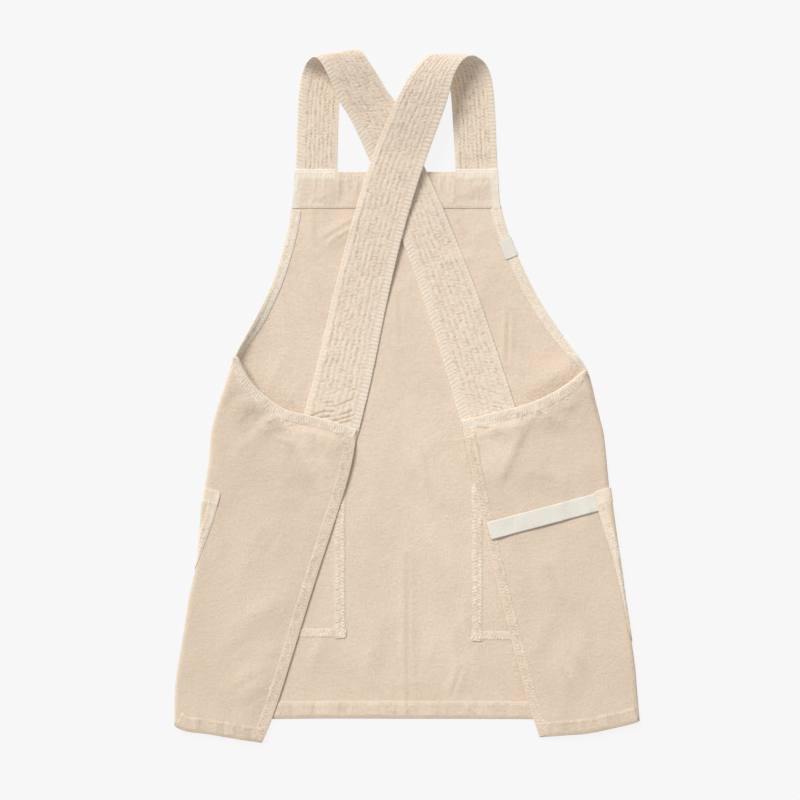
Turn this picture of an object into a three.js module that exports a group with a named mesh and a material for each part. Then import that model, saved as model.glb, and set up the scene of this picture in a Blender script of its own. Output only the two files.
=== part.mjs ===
import * as THREE from 'three';

// A cross-back canvas smock laid flat with its back upwards, in millimetres with +Z up.
// +Y runs towards the straps and +X to the viewer's right. The front panel lies on the floor with its
// inside up, and the two back wraps are the same cloth, folded over it at the sides.

// Walls and clearances
const CANVAS = 1.2;
const STRAP_WALL = 2.4;
const TAPE_WALL = 0.8;
const GAP = 0.3;

// Side folds: the radius of the cloth where it turns from the front to a wrap
const FOLD_RADIUS = 2.5;
const FOLD_STEPS = 6;

// Room between the front and a wrap: at the fold, over the middle, and where strap ends or hems stack up
const LOFT_FOLD = 2 * FOLD_RADIUS - CANVAS;
const LOFT_MIDDLE = 2.1;
const LOFT_STACK = 1.5;
const LOFT_FADE = 70;
const STACK_TOP = -150;
const STACK_BOTTOM = -375;
const STACK_RAMP = 60;

// Trims
const HEM_HEIGHT = 24;
const BACK_HEM_WIDTH = 17;
const BINDING_WIDTH = 16;
const FACING_WIDTH = 14;
const BAND_HEIGHT = 56;
const STRAP_TUCK = 22;

// Where something lies under the front, the front rises over it: a margin all round, then a soft ramp
const POCKET_LIFT = { height: CANVAS + GAP, margin: 26, ramp: 60 };
const TAB_LIFT = { height: TAPE_WALL + GAP, margin: 12, ramp: 60 };

const COLOURS = {
  canvas: 0xdac8b0,
  seam: 0xe6d9c3,
  quilted: 0xd8c5a9,
  tape: 0xdcdcd3,
};

// Outline of the laid garment, a row for each turn of an edge
const at = (x, y) => new THREE.Vector2(x, y);

// Side folds from the lower corner up to the armhole point
const FOLD = {
  left: [at(-336, -473), at(-316, -291), at(-296, -152), at(-278, -36), at(-247, 56)],
  right: [at(336, -467), at(316, -291), at(296, -152), at(281, -36), at(261, 38)],
};

// Armhole edges of the front from the armhole point up to the bib's corner
const ARMHOLE = {
  left: [at(-247, 56), at(-216, 115), at(-190, 172), at(-169, 248), at(-161, 327)],
  right: [at(261, 38), at(231, 80), at(190, 142), at(156, 213), at(138, 268), at(133, 327)],
};

// Top edges of the wraps from the inner corner out to the armhole point
const WRAP_TOP = {
  left: [at(-72, -50), at(-113, -36), at(-148, -28), at(-180, -18), at(-220, 14), at(-247, 56)],
  right: [at(81, -37), at(122, -27), at(181, -11), at(226, 11), at(261, 38)],
};

// Inner edges of the wraps from the lower corner up to the strap's base
const WRAP_INNER = {
  left: [at(-212, -500), at(-186, -442), at(-132, -268), at(-85, -121), at(-72, -50)],
  right: [at(194, -497), at(173, -427), at(132, -268), at(99, -123), at(81, -37)],
};

// Lower edges of the wraps from the inner corner out to the side fold
const WRAP_BOTTOM = {
  left: [at(-212, -500), at(-278, -489), at(-336, -473)],
  right: [at(194, -497), at(276, -486), at(336, -467)],
};

const FRONT_BOTTOM = [at(-336, -473), at(-205, -468), at(0, -467), at(205, -467), at(336, -467)];

// Patch pockets, measured on the cloth before it is folded: inner is the edge near the middle, and outer
// is the edge that turns round the side fold, at the mouth and at the lower corner
const POCKET = {
  left: { inner: -86, outerTop: -330, outerBottom: -322, mouth: -133, base: -352 },
  right: { inner: 94, outerTop: 326, outerBottom: 333, mouth: -133, base: -356 },
};
const POCKET_TAPE_ROOM = TAPE_WALL + 2 * GAP;
const POCKET_SIDE_ROOM = 3 * GAP;

// Grey tab folded over the right armhole edge: its place along the edge, its length and its two leaves
const TAB = { along: 0.645, length: 30, leaf: 17 };

// Grey tape over the right wrap, from under the pocket's edge to the wrap's inner edge
const TAPE = { fromX: 283, fromY: -152, toX: 121, toY: -196, width: 26, slack: 2.5 };

// Creases of the wraps: a ridge from one point to another, its height and its reach to each side
const CREASES = [
  { x0: 174, y0: -52, x1: 142, y1: -122, height: 3, reach: 20 },
  { x0: 212, y0: -34, x1: 246, y1: -86, height: 2, reach: 20 },
  { x0: -150, y0: -68, x1: -112, y1: -122, height: 2.5, reach: 20 },
  { x0: -206, y0: -42, x1: -238, y1: -112, height: 2, reach: 22 },
];

// Straps, a row for each section: the middle of the section, the turn of its width about Z, its width
const STRAP_SECTIONS = {
  left: [
    { x: -129.5, y: 305, z: 2.7, turn: 0, width: 60 },
    { x: -129.5, y: 336, z: 2.4, turn: 0, width: 60 },
    { x: -126, y: 420, z: 1.8, turn: 2, width: 60 },
    { x: -118, y: 472, z: 5, turn: 5, width: 61 },
    { x: -104, y: 495, z: 15, turn: 8.5, width: 63 },
    { x: -88, y: 484, z: 24, turn: 12, width: 64 },
    { x: -72, y: 456, z: 23, turn: 15, width: 65 },
    { x: -47, y: 408, z: 15, turn: 18, width: 66 },
    { x: -21, y: 353, z: 7.5, turn: 20, width: 68 },
    { x: 6, y: 292, z: 5, turn: 20, width: 70 },
    { x: 21, y: 256, z: 4.7, turn: 20, width: 72 },
    { x: 40, y: 208, z: 3, turn: 19, width: 74 },
    { x: 66, y: 138, z: 2.7, turn: 18, width: 77 },
    { x: 99, y: 37, z: 2.7, turn: 17, width: 80 },
    { x: 119, y: -28, z: 3, turn: 16, width: 82 },
    { x: 126, y: -52, z: 3.1, turn: 15, width: 82 },
  ],
  right: [
    { x: 101.5, y: 305, z: 2.7, turn: 0, width: 61 },
    { x: 101.5, y: 336, z: 2.4, turn: 0, width: 61 },
    { x: 97, y: 420, z: 1.8, turn: -2, width: 62 },
    { x: 88, y: 472, z: 5, turn: -5, width: 63 },
    { x: 70, y: 493, z: 15, turn: -8, width: 64 },
    { x: 54, y: 484, z: 25, turn: -10, width: 65 },
    { x: 41, y: 460, z: 26, turn: -12, width: 67 },
    { x: 21, y: 420, z: 22, turn: -14, width: 70 },
    { x: -4, y: 358, z: 14.5, turn: -16, width: 73 },
    { x: -24, y: 301, z: 10.5, turn: -16, width: 75 },
    { x: -47, y: 225, z: 6.4, turn: -15, width: 77 },
    { x: -69, y: 138, z: 3.2, turn: -14, width: 79 },
    { x: -90, y: 42, z: 2.7, turn: -14, width: 81 },
    { x: -106, y: -30, z: 3, turn: -15, width: 84 },
    { x: -113, y: -62, z: 3.1, turn: -16, width: 84 },
  ],
};

const SIDES = ['left', 'right'];
const inward = { left: 1, right: -1 };
const { lerp, smoothstep, clamp, degToRad } = THREE.MathUtils;
const stations = (count) => Array.from({ length: count + 1 }, (_, i) => i / count);

// A smooth edge as a function of its share of the way from start to end
function edge(points) {
  const curve = new THREE.SplineCurve(points);
  return (share) => curve.getPointAt(clamp(share, 0, 1));
}

const foldEdge = { left: edge(FOLD.left), right: edge(FOLD.right) };
const armhole = { left: edge(ARMHOLE.left), right: edge(ARMHOLE.right) };

// The x of a side fold at a height y, found by halving its edge
const HALVINGS = 24;

function foldX(side, y) {
  const fold = foldEdge[side];
  let low = 0;
  let high = 1;
  for (let halving = 0; halving < HALVINGS; halving += 1) {
    const middle = (low + high) / 2;
    if (fold(middle).y < y) low = middle;
    else high = middle;
  }
  return fold(low).x;
}

// How far a point lies outside a box on the floor
function outside(x, y, box) {
  const dx = Math.max(box.x0 - x, 0, x - box.x1);
  const dy = Math.max(box.y0 - y, 0, y - box.y1);
  return Math.hypot(dx, dy);
}

// What lies between the floor and the front: the pockets and the lower leaf of the tab
const tabMiddle = armhole.right(TAB.along);
const PAST_SIDES = 400;
const UNDER_FRONT = [
  { x0: -PAST_SIDES, x1: POCKET.left.inner, y0: POCKET.left.base, y1: POCKET.left.mouth, ...POCKET_LIFT },
  { x0: POCKET.right.inner, x1: PAST_SIDES, y0: POCKET.right.base, y1: POCKET.right.mouth, ...POCKET_LIFT },
  {
    x0: tabMiddle.x - TAB.leaf,
    x1: tabMiddle.x + TAB.leaf,
    y0: tabMiddle.y - TAB.length / 2,
    y1: tabMiddle.y + TAB.length / 2,
    ...TAB_LIFT,
  },
];

// Height of the front's underside over the floor
function frontBase(x, y) {
  const lifts = UNDER_FRONT.map((box) => {
    const away = outside(x, y, box) - box.margin;
    return box.height * (1 - smoothstep(away, 0, box.ramp));
  });
  return Math.max(...lifts);
}

// Height of a crease at a point, a rounded ridge along its line
function creaseHeight(x, y) {
  let height = 0;
  for (const crease of CREASES) {
    const run = new THREE.Vector2(crease.x1 - crease.x0, crease.y1 - crease.y0);
    const to = new THREE.Vector2(x - crease.x0, y - crease.y0);
    const share = clamp(to.dot(run) / run.lengthSq(), 0, 1);
    const away = to.addScaledVector(run, -share).length() / crease.reach;
    height += crease.height * Math.exp(-away * away);
  }
  return height;
}

// Height of a wrap's middle surface over the floor
function wrapHeight(side, x, y) {
  const fromFold = Math.max(0, inward[side] * (x - foldX(side, y)) - FOLD_RADIUS);
  const atFold = Math.exp(-fromFold / LOFT_FADE);
  const stackTop = smoothstep(y, STACK_TOP, STACK_TOP + STACK_RAMP);
  const stackBottom = 1 - smoothstep(y, STACK_BOTTOM - STACK_RAMP, STACK_BOTTOM);
  const open = LOFT_MIDDLE + LOFT_STACK * (stackTop + stackBottom) + creaseHeight(x, y);
  const room = lerp(open, LOFT_FOLD, atFold);
  return frontBase(x, y) + CANVAS + room + CANVAS / 2;
}

// A four-sided patch between its lower, upper, left and right edges
function patch(lower, upper, left, right) {
  return (u, v) => {
    const across = lower(u).lerp(upper(u), v);
    const along = left(v).lerp(right(v), u);
    const corners = lower(0).lerp(lower(1), u).lerp(upper(0).lerp(upper(1), u), v);
    return across.add(along).sub(corners);
  };
}

// A sheet of cloth held as a grid of points on its middle surface, rows by columns
class Sheet {
  constructor(points) {
    this.points = points;
  }

  normal(row, column) {
    const lastRow = this.points.length - 1;
    const lastColumn = this.points[0].length - 1;
    const pick = (r, c) => this.points[clamp(r, 0, lastRow)][clamp(c, 0, lastColumn)];
    const across = pick(row, column + 1).clone().sub(pick(row, column - 1));
    const along = pick(row + 1, column).clone().sub(pick(row - 1, column));
    return across.cross(along).normalize();
  }

  // A strip of this sheet laid on its face at a distance, between two rows and two columns
  strip(rowFrom, rowTo, columnFrom, columnTo, distance) {
    const points = [];
    for (let row = rowFrom; row <= rowTo; row += 1) {
      const line = [];
      for (let column = columnFrom; column <= columnTo; column += 1) {
        const point = this.points[row][column].clone();
        line.push(point.addScaledVector(this.normal(row, column), distance));
      }
      points.push(line);
    }
    return new Sheet(points);
  }

  // The closed solid with half the wall to each side; grid points that fall together become one corner
  solid(wall) {
    const corners = new Map();
    const middle = [];
    const normals = [];
    const index = this.points.map((line, row) => line.map((point, column) => {
      const key = point.toArray().map((value) => value.toFixed(2)).join(' ');
      if (!corners.has(key)) {
        corners.set(key, middle.length);
        middle.push(point);
        normals.push(this.normal(row, column));
      }
      return corners.get(key);
    }));
    const faces = [];
    const addFace = (a, b, c) => {
      if (a !== b && b !== c && c !== a) faces.push([a, b, c]);
    };
    for (let row = 0; row + 1 < index.length; row += 1) {
      for (let column = 0; column + 1 < index[row].length; column += 1) {
        const [a, b] = [index[row][column], index[row][column + 1]];
        const [d, c] = [index[row + 1][column], index[row + 1][column + 1]];
        addFace(a, b, c);
        addFace(a, c, d);
      }
    }
    const count = middle.length;
    const positions = [];
    for (const level of [wall / 2, -wall / 2]) {
      middle.forEach((point, i) => {
        positions.push(...point.clone().addScaledVector(normals[i], level).toArray());
      });
    }
    const triangles = [];
    const directed = new Set(faces.flatMap(([a, b, c]) => [`${a} ${b}`, `${b} ${c}`, `${c} ${a}`]));
    for (const [a, b, c] of faces) {
      triangles.push(a, b, c, a + count, c + count, b + count);
      for (const [from, to] of [[a, b], [b, c], [c, a]]) {
        if (directed.has(`${to} ${from}`)) continue;
        triangles.push(to, from, from + count, to, from + count, to + count);
      }
    }
    const geometry = new THREE.BufferGeometry();
    geometry.setAttribute('position', new THREE.Float32BufferAttribute(positions, 3));
    geometry.setIndex(triangles);
    geometry.computeVertexNormals();
    return geometry;
  }
}

const group = new THREE.Group();

function addPiece(name, sheet, wall, colour, roughness = 0.9) {
  const material = new THREE.MeshStandardMaterial({ color: colour, roughness, metalness: 0 });
  const mesh = new THREE.Mesh(sheet.solid(wall), material);
  mesh.name = name;
  group.add(mesh);
}

// The body: both wraps and the front as one grid, columns from the left wrap's inner edge round to the
// right wrap's. The first and last rows of cells are as high as the hem and the binding.
const BODY_CELLS = 18;
const WRAP_CELLS = 7;
const ARMHOLE_CELLS = 6;
const BIB_CELLS = 8;
const FRONT_SHARES = [
  ...stations(ARMHOLE_CELLS).map((share) => share / 3),
  ...stations(BIB_CELLS).slice(1).map((share) => (1 + share) / 3),
  ...stations(ARMHOLE_CELLS).slice(1).map((share) => (2 + share) / 3),
];

// A row's share of a column that long, and a column's share of a wrap that wide at its row
function rowShare(row, length) {
  if (row === 0 || row === BODY_CELLS) return row / BODY_CELLS;
  return lerp(HEM_HEIGHT / length, 1 - BINDING_WIDTH / length, (row - 1) / (BODY_CELLS - 2));
}

function wrapShare(column, width) {
  if (column === 0) return 0;
  return lerp(BACK_HEM_WIDTH / width, 1, (column - 1) / (WRAP_CELLS - 1));
}

// The line where a panel's flat cloth starts to turn into the side fold
function foldStart(side) {
  return (v) => foldEdge[side](v).add(at(inward[side] * FOLD_RADIUS, 0));
}

function frontPanel() {
  const bib = new THREE.LineCurve(armhole.left(1), armhole.right(1));
  const shift = (side, share) => at(inward[side] * FOLD_RADIUS * (1 - share), 0);
  const top = (u) => {
    if (u < 1 / 3) return armhole.left(3 * u).add(shift('left', 3 * u));
    if (u <= 2 / 3) return bib.getPoint(3 * u - 1);
    return armhole.right(3 - 3 * u).add(shift('right', 3 - 3 * u));
  };
  const hem = edge(FRONT_BOTTOM);
  const bottom = (u) => hem(u).add(at(FOLD_RADIUS * (1 - 2 * u), 0));
  return patch(bottom, top, foldStart('left'), foldStart('right'));
}

function wrapPanel(side) {
  const top = edge(WRAP_TOP[side]);
  const bottom = edge(WRAP_BOTTOM[side]);
  const turned = (curve) => (t) => curve(t).add(at(inward[side] * FOLD_RADIUS * t, 0));
  return patch(turned(bottom), turned(top), edge(WRAP_INNER[side]), foldStart(side));
}

const front = frontPanel();
const wraps = { left: wrapPanel('left'), right: wrapPanel('right') };

function frontPoint(u, row) {
  const length = front(u, 0).distanceTo(front(u, 1));
  const flat = front(u, rowShare(row, length));
  return new THREE.Vector3(flat.x, flat.y, frontBase(flat.x, flat.y) + CANVAS / 2);
}

function wrapPoint(side, column, row) {
  const wrap = wraps[side];
  const middle = row / BODY_CELLS;
  const t = wrapShare(column, wrap(0, middle).distanceTo(wrap(1, middle)));
  const flat = wrap(t, rowShare(row, wrap(t, 0).distanceTo(wrap(t, 1))));
  return new THREE.Vector3(flat.x, flat.y, wrapHeight(side, flat.x, flat.y));
}

// The points of the turn between the front (share 0) and the wrap (share 1)
function foldPoint(side, share, row) {
  const low = frontPoint(side === 'left' ? 0 : 1, row);
  const high = wrapPoint(side, WRAP_CELLS, row);
  const angle = Math.PI * share;
  const radius = (high.z - low.z) / 2;
  const point = low.clone().lerp(high, share);
  point.x -= inward[side] * FOLD_RADIUS * Math.sin(angle);
  point.z = low.z + radius * (1 - Math.cos(angle));
  return point;
}

const turnShares = stations(FOLD_STEPS).slice(1, -1);
const bodyRows = Array.from({ length: BODY_CELLS + 1 }, (_, row) => row);
const wrapLines = Array.from({ length: WRAP_CELLS + 1 }, (_, column) => column);
const body = new Sheet(bodyRows.map((row) => [
  ...wrapLines.map((column) => wrapPoint('left', column, row)),
  ...turnShares.toReversed().map((share) => foldPoint('left', share, row)),
  ...FRONT_SHARES.map((u) => frontPoint(u, row)),
  ...turnShares.map((share) => foldPoint('right', share, row)),
  ...wrapLines.toReversed().map((column) => wrapPoint('right', column, row)),
]));
addPiece('body', body, CANVAS, COLOURS.canvas);

// Trims that follow the body's own grid, laid on its inside or its outside
const LAID = CANVAS + GAP;
const backHemRow = BODY_CELLS - 3;
const lastColumn = body.points[0].length - 1;
const frontFirst = WRAP_CELLS + FOLD_STEPS;
const frontLast = lastColumn - frontFirst;
const wrapColumns = { left: [0, WRAP_CELLS - 1], right: [lastColumn - WRAP_CELLS + 1, lastColumn] };
const innerColumns = { left: [0, 1], right: [lastColumn - 1, lastColumn] };

addPiece('hem_front', body.strip(0, 1, frontFirst + 1, frontLast - 1, LAID), CANVAS, COLOURS.seam);
for (const side of SIDES) {
  const hem = body.strip(0, 1, ...wrapColumns[side], LAID);
  const backHem = body.strip(1, backHemRow, ...innerColumns[side], LAID);
  const binding = body.strip(BODY_CELLS - 1, BODY_CELLS, ...wrapColumns[side], -LAID);
  addPiece(`hem_${side}`, hem, CANVAS, COLOURS.seam);
  addPiece(`back_hem_${side}`, backHem, CANVAS, COLOURS.seam);
  addPiece(`binding_${side}`, binding, CANVAS, COLOURS.seam);
}

// Armhole facings: ribbons along the armhole edges on the inside of the front
const FACING_START = 0.07;
const FACING_END = { left: 0.79, right: 0.8 };
const FACING_CELLS = 14;
const EDGE_STEP = 0.01;

function facingSheet(side) {
  const run = armhole[side];
  const lines = stations(1).map((across) => stations(FACING_CELLS).map((share) => {
    const along = lerp(FACING_START, FACING_END[side], share);
    const tangent = run(along + EDGE_STEP).sub(run(along - EDGE_STEP)).normalize();
    const inside = at(tangent.y, -tangent.x).multiplyScalar(inward[side]);
    const point = run(along).addScaledVector(inside, across * FACING_WIDTH);
    return new THREE.Vector3(point.x, point.y, frontBase(point.x, point.y) + CANVAS / 2 + LAID);
  }));
  return new Sheet(side === 'left' ? lines : lines.toReversed());
}

for (const side of SIDES) addPiece(`facing_${side}`, facingSheet(side), CANVAS, COLOURS.seam);

// Bib band: the strip along the bib's top on the inside, lifted where the strap ends lie under it
const BAND_CELLS = 22;
const BAND_ROWS = [0, 0.25, 0.42, 0.6, 1];
const STRAP_LIFT = STRAP_WALL + GAP;
const STRAP_MARGIN = 14;
const STRAP_RAMP = 16;

function bandPoint(u, v) {
  const left = armhole.left(1);
  const right = armhole.right(1);
  const flat = left.clone().lerp(right, u).add(at(0, (v - 1) * BAND_HEIGHT));
  const lifts = SIDES.map((side) => {
    const end = STRAP_SECTIONS[side][0];
    const half = end.width / 2;
    const box = { x0: end.x - half, x1: end.x + half, y0: left.y - STRAP_TUCK, y1: left.y };
    const away = outside(flat.x, flat.y, box) - STRAP_MARGIN;
    return STRAP_LIFT * (1 - smoothstep(away, 0, STRAP_RAMP));
  });
  const height = frontBase(flat.x, flat.y) + CANVAS / 2 + LAID + Math.max(...lifts);
  return new THREE.Vector3(flat.x, flat.y, height);
}

const band = new Sheet(BAND_ROWS.map((v) => stations(BAND_CELLS).map((u) => bandPoint(u, v))));
addPiece('bib_band', band, CANVAS, COLOURS.seam);

// Pockets: patches on the outside, lying under the front, turned round the side fold on to the wrap.
// Columns are counted from the fold, and each row stops at the pocket's outer edge.
const POCKET_ROWS = 16;
const POCKET_FRONT_CELLS = 7;
const POCKET_WRAP_CELLS = 2;
const EDGE_SNAP = 1;

function pocketSheet(side) {
  const size = POCKET[side];
  const sign = inward[side];
  const rows = stations(POCKET_ROWS).map((share) => {
    const y = lerp(size.base, size.mouth, share);
    const fold = foldX(side, y);
    const outer = lerp(size.outerBottom, size.outerTop, share);
    const wrapTop = wrapHeight(side, fold + sign * FOLD_RADIUS, y) + CANVAS / 2;
    const high = wrapTop + POCKET_TAPE_ROOM + CANVAS / 2;
    const radius = (high - CANVAS / 2) / 2;
    const start = fold + sign * (radius - CANVAS - POCKET_SIDE_ROOM);
    const turn = Math.PI * radius;
    const reach = sign * (start - outer);
    const over = Math.max(reach - turn, EDGE_SNAP);
    const distances = [
      ...stations(POCKET_FRONT_CELLS).map((part) => -Math.abs(start - size.inner) * (1 - part)),
      ...stations(FOLD_STEPS).slice(1).map((part) => turn * part),
      ...stations(POCKET_WRAP_CELLS).slice(1).map((part) => turn + over * part),
    ];
    return distances.map((distance) => {
      const along = distance > reach - EDGE_SNAP ? reach : distance;
      if (along <= 0) return new THREE.Vector3(start - sign * along, y, CANVAS / 2);
      const angle = Math.min(along, turn) / radius;
      const past = Math.max(along - turn, 0);
      const x = start + sign * (past - radius * Math.sin(angle));
      const sink = past > 0 ? wrapHeight(side, x, y) + CANVAS / 2 - wrapTop : 0;
      return new THREE.Vector3(x, y, CANVAS / 2 + radius * (1 - Math.cos(angle)) + sink);
    });
  });
  return new Sheet(rows);
}

for (const side of SIDES) addPiece(`pocket_${side}`, pocketSheet(side), CANVAS, COLOURS.canvas);

// Straps: ruled ribbons through their sections, rolled over at the shoulders
const STRAP_STEPS = 56;
const STRAP_CELLS = 3;

function strapSheet(side) {
  const sections = STRAP_SECTIONS[side];
  const points = sections.map((section) => new THREE.Vector3(section.x, section.y, section.z));
  const middle = new THREE.CatmullRomCurve3(points, false, 'centripetal');
  const span = sections.length - 1;
  const between = (share, column) => {
    const first = Math.min(Math.floor(share * span), span - 1);
    return lerp(sections[first][column], sections[first + 1][column], share * span - first);
  };
  return new Sheet(stations(STRAP_CELLS).map((across) => stations(STRAP_STEPS).map((share) => {
    const turn = degToRad(between(share, 'turn'));
    const reach = (across - 0.5) * between(share, 'width');
    const point = middle.getPoint(share);
    point.add(new THREE.Vector3(reach * Math.cos(turn), reach * Math.sin(turn), 0));
    point.z += frontBase(point.x, point.y);
    return point;
  })));
}

for (const side of SIDES) addPiece(`strap_${side}`, strapSheet(side), STRAP_WALL, COLOURS.quilted);

// Tape loop: laid over the right wrap with a little slack
const TAPE_CELLS = 12;

function tapeSheet() {
  const run = at(TAPE.toX - TAPE.fromX, TAPE.toY - TAPE.fromY);
  const side = at(-run.y, run.x).normalize();
  return new Sheet(stations(2).map((across) => stations(TAPE_CELLS).map((share) => {
    const flat = at(TAPE.fromX, TAPE.fromY).addScaledVector(run, share);
    flat.addScaledVector(side, (across - 0.5) * TAPE.width);
    const rise = CANVAS / 2 + GAP + TAPE_WALL / 2 + TAPE.slack * Math.sin(Math.PI * share) ** 2;
    return new THREE.Vector3(flat.x, flat.y, wrapHeight('right', flat.x, flat.y) + rise);
  })));
}

addPiece('tape_loop', tapeSheet(), TAPE_WALL, COLOURS.tape, 0.7);

// Edge tab: two leaves joined by a turn round the right armhole edge
function tabSheet() {
  const run = armhole.right;
  const tangent = run(TAB.along + EDGE_STEP).sub(run(TAB.along - EDGE_STEP)).normalize();
  const inside = at(-tangent.y, tangent.x);
  const base = TAB_LIFT.height;
  const low = base - GAP - TAPE_WALL / 2;
  const high = base + CANVAS + LAID + GAP + TAPE_WALL / 2;
  const radius = (high - low) / 2;
  const section = [
    [TAB.leaf, low],
    [TAB.leaf / 2, low],
    ...stations(FOLD_STEPS).map((share) => [
      -GAP - radius * Math.sin(Math.PI * share),
      low + radius * (1 - Math.cos(Math.PI * share)),
    ]),
    [TAB.leaf / 2, high],
    [TAB.leaf, high],
  ];
  return new Sheet(section.map(([reach, z]) => stations(2).map((share) => {
    const flat = run(TAB.along).addScaledVector(inside, reach);
    flat.addScaledVector(tangent, (share - 0.5) * TAB.length);
    return new THREE.Vector3(flat.x, flat.y, z);
  })));
}

addPiece('edge_tab', tabSheet(), TAPE_WALL, COLOURS.tape, 0.7);

// The origin is on the floor under the middle of the garment
const box = new THREE.Box3().setFromObject(group);
const middle = box.getCenter(new THREE.Vector3());
group.position.set(-middle.x, -middle.y, -box.min.z);

export default group;
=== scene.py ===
# %% [markdown]
# A canvas smock, laid flat with its back up.
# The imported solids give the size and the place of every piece. This file dresses them: it makes finer
# cloth with creases, puckered seams and quilted straps over the same outline, and gives each its finish.

# %% Load the fixed frame
import math

import bpy
import numpy as np
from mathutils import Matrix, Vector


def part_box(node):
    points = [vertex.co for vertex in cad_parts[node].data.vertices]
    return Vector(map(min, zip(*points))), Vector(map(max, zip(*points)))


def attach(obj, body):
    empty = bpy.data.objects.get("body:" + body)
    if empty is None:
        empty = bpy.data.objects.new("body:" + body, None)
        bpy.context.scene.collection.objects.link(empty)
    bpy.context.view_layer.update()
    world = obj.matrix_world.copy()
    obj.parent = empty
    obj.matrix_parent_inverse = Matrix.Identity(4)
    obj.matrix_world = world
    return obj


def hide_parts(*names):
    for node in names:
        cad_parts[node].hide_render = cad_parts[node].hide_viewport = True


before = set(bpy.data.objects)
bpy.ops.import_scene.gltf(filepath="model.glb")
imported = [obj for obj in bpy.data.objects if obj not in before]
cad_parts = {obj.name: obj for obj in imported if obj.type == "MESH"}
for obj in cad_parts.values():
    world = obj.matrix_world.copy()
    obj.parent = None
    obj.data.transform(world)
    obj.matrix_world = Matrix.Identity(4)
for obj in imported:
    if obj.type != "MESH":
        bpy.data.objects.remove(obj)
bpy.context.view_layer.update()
MM = 0.001
print("frame nodes:", sorted(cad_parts))

# %% [markdown]
# Cloth is easiest to shape as a grid of points: rows and columns that run with the edges of the piece.
# The edges are smooth curves through a few corners, and a patch fills in between four of them. The walls
# are given their thickness at the end, so that every piece is a closed skin with its faces outwards.

# %% Smooth edges, patches and soft steps
CURVE_STEPS = 60


def lengths(line):
    """How far along a line of points each of them is."""
    return np.concatenate([[0], np.cumsum(np.linalg.norm(np.diff(line, axis=0), axis=1))])


def edge(corners):
    """A smooth edge through its corners, as a function of the share of the way along it."""
    points = np.array(corners, float)
    padded = np.vstack([points[:1], points, points[-1:]])
    t = np.linspace(0, 1, CURVE_STEPS, endpoint=False)[:, None]
    pieces = []
    for a, b, c, d in zip(padded, padded[1:], padded[2:], padded[3:]):
        bend = (2 * a - 5 * b + 4 * c - d) + t * (3 * (b - c) + d - a)
        pieces.append(b + 0.5 * t * ((c - a) + t * bend))
    line = np.vstack(pieces + [points[-1:]])
    length = lengths(line)
    length /= length[-1]

    def at(share):
        share = np.clip(np.asarray(share, float), 0, 1)
        return np.stack([np.interp(share, length, line[:, k]) for k in range(line.shape[1])], -1)

    return at


def patch(lower, upper, left, right, u, v):
    """Points of a four-sided patch between its edges, for arrays u across and v up."""
    u1, v1 = u[..., None], v[..., None]
    across = lower(u) * (1 - v1) + upper(u) * v1
    along = left(v) * (1 - u1) + right(v) * u1
    low = lower(0) * (1 - u1) + lower(1) * u1
    high = upper(0) * (1 - u1) + upper(1) * u1
    return across + along - (low * (1 - v1) + high * v1)


def step(x, low, high):
    """A soft step from 0 at low to 1 at high."""
    t = np.clip((x - low) / (high - low), 0, 1)
    return t * t * (3 - 2 * t)


def bump(x, low, high, soft):
    """A plateau of 1 between low and high, with soft shoulders inside it."""
    return step(x, low, low + soft) * (1 - step(x, high - soft, high))


# %% A repeatable wrinkle noise
NOISE_SIZE = 257


def noise(x, y, seed):
    """Smooth noise from 0 to 1 with one feature per unit, the same on every run."""
    lattice = np.random.default_rng(seed).random((NOISE_SIZE, NOISE_SIZE))
    xi, yi = np.floor(x).astype(int), np.floor(y).astype(int)
    fx, fy = x - xi, y - yi
    fx, fy = fx * fx * (3 - 2 * fx), fy * fy * (3 - 2 * fy)
    x0, x1 = xi % NOISE_SIZE, (xi + 1) % NOISE_SIZE
    y0, y1 = yi % NOISE_SIZE, (yi + 1) % NOISE_SIZE
    low = lattice[x0, y0] * (1 - fx) + lattice[x1, y0] * fx
    high = lattice[x0, y1] * (1 - fx) + lattice[x1, y1] * fx
    return low * (1 - fy) + high * fy


def ridges(x, y, seed):
    """Noise folded into thin crests, as crumpled cloth has, from 0 to 1."""
    return 1 - np.abs(2 * noise(x, y, seed) - 1)


# %% Closed cloth from a grid of points
outer_face = {}


def normals_of(points):
    across = np.gradient(points, axis=1)
    along = np.gradient(points, axis=0)
    normal = np.cross(across, along)
    return normal / np.maximum(np.linalg.norm(normal, axis=-1, keepdims=True), 1e-9)


def tiles(index):
    """Four-sided faces of a grid of point numbers."""
    return np.stack([index[:-1, :-1], index[:-1, 1:], index[1:, 1:], index[1:, :-1]], -1).reshape(-1, 4)


def border(index):
    """The point numbers round a grid."""
    return np.concatenate([index[0], index[1:, -1], index[-1, -2::-1], index[-2:0:-1, 0]])


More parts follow.
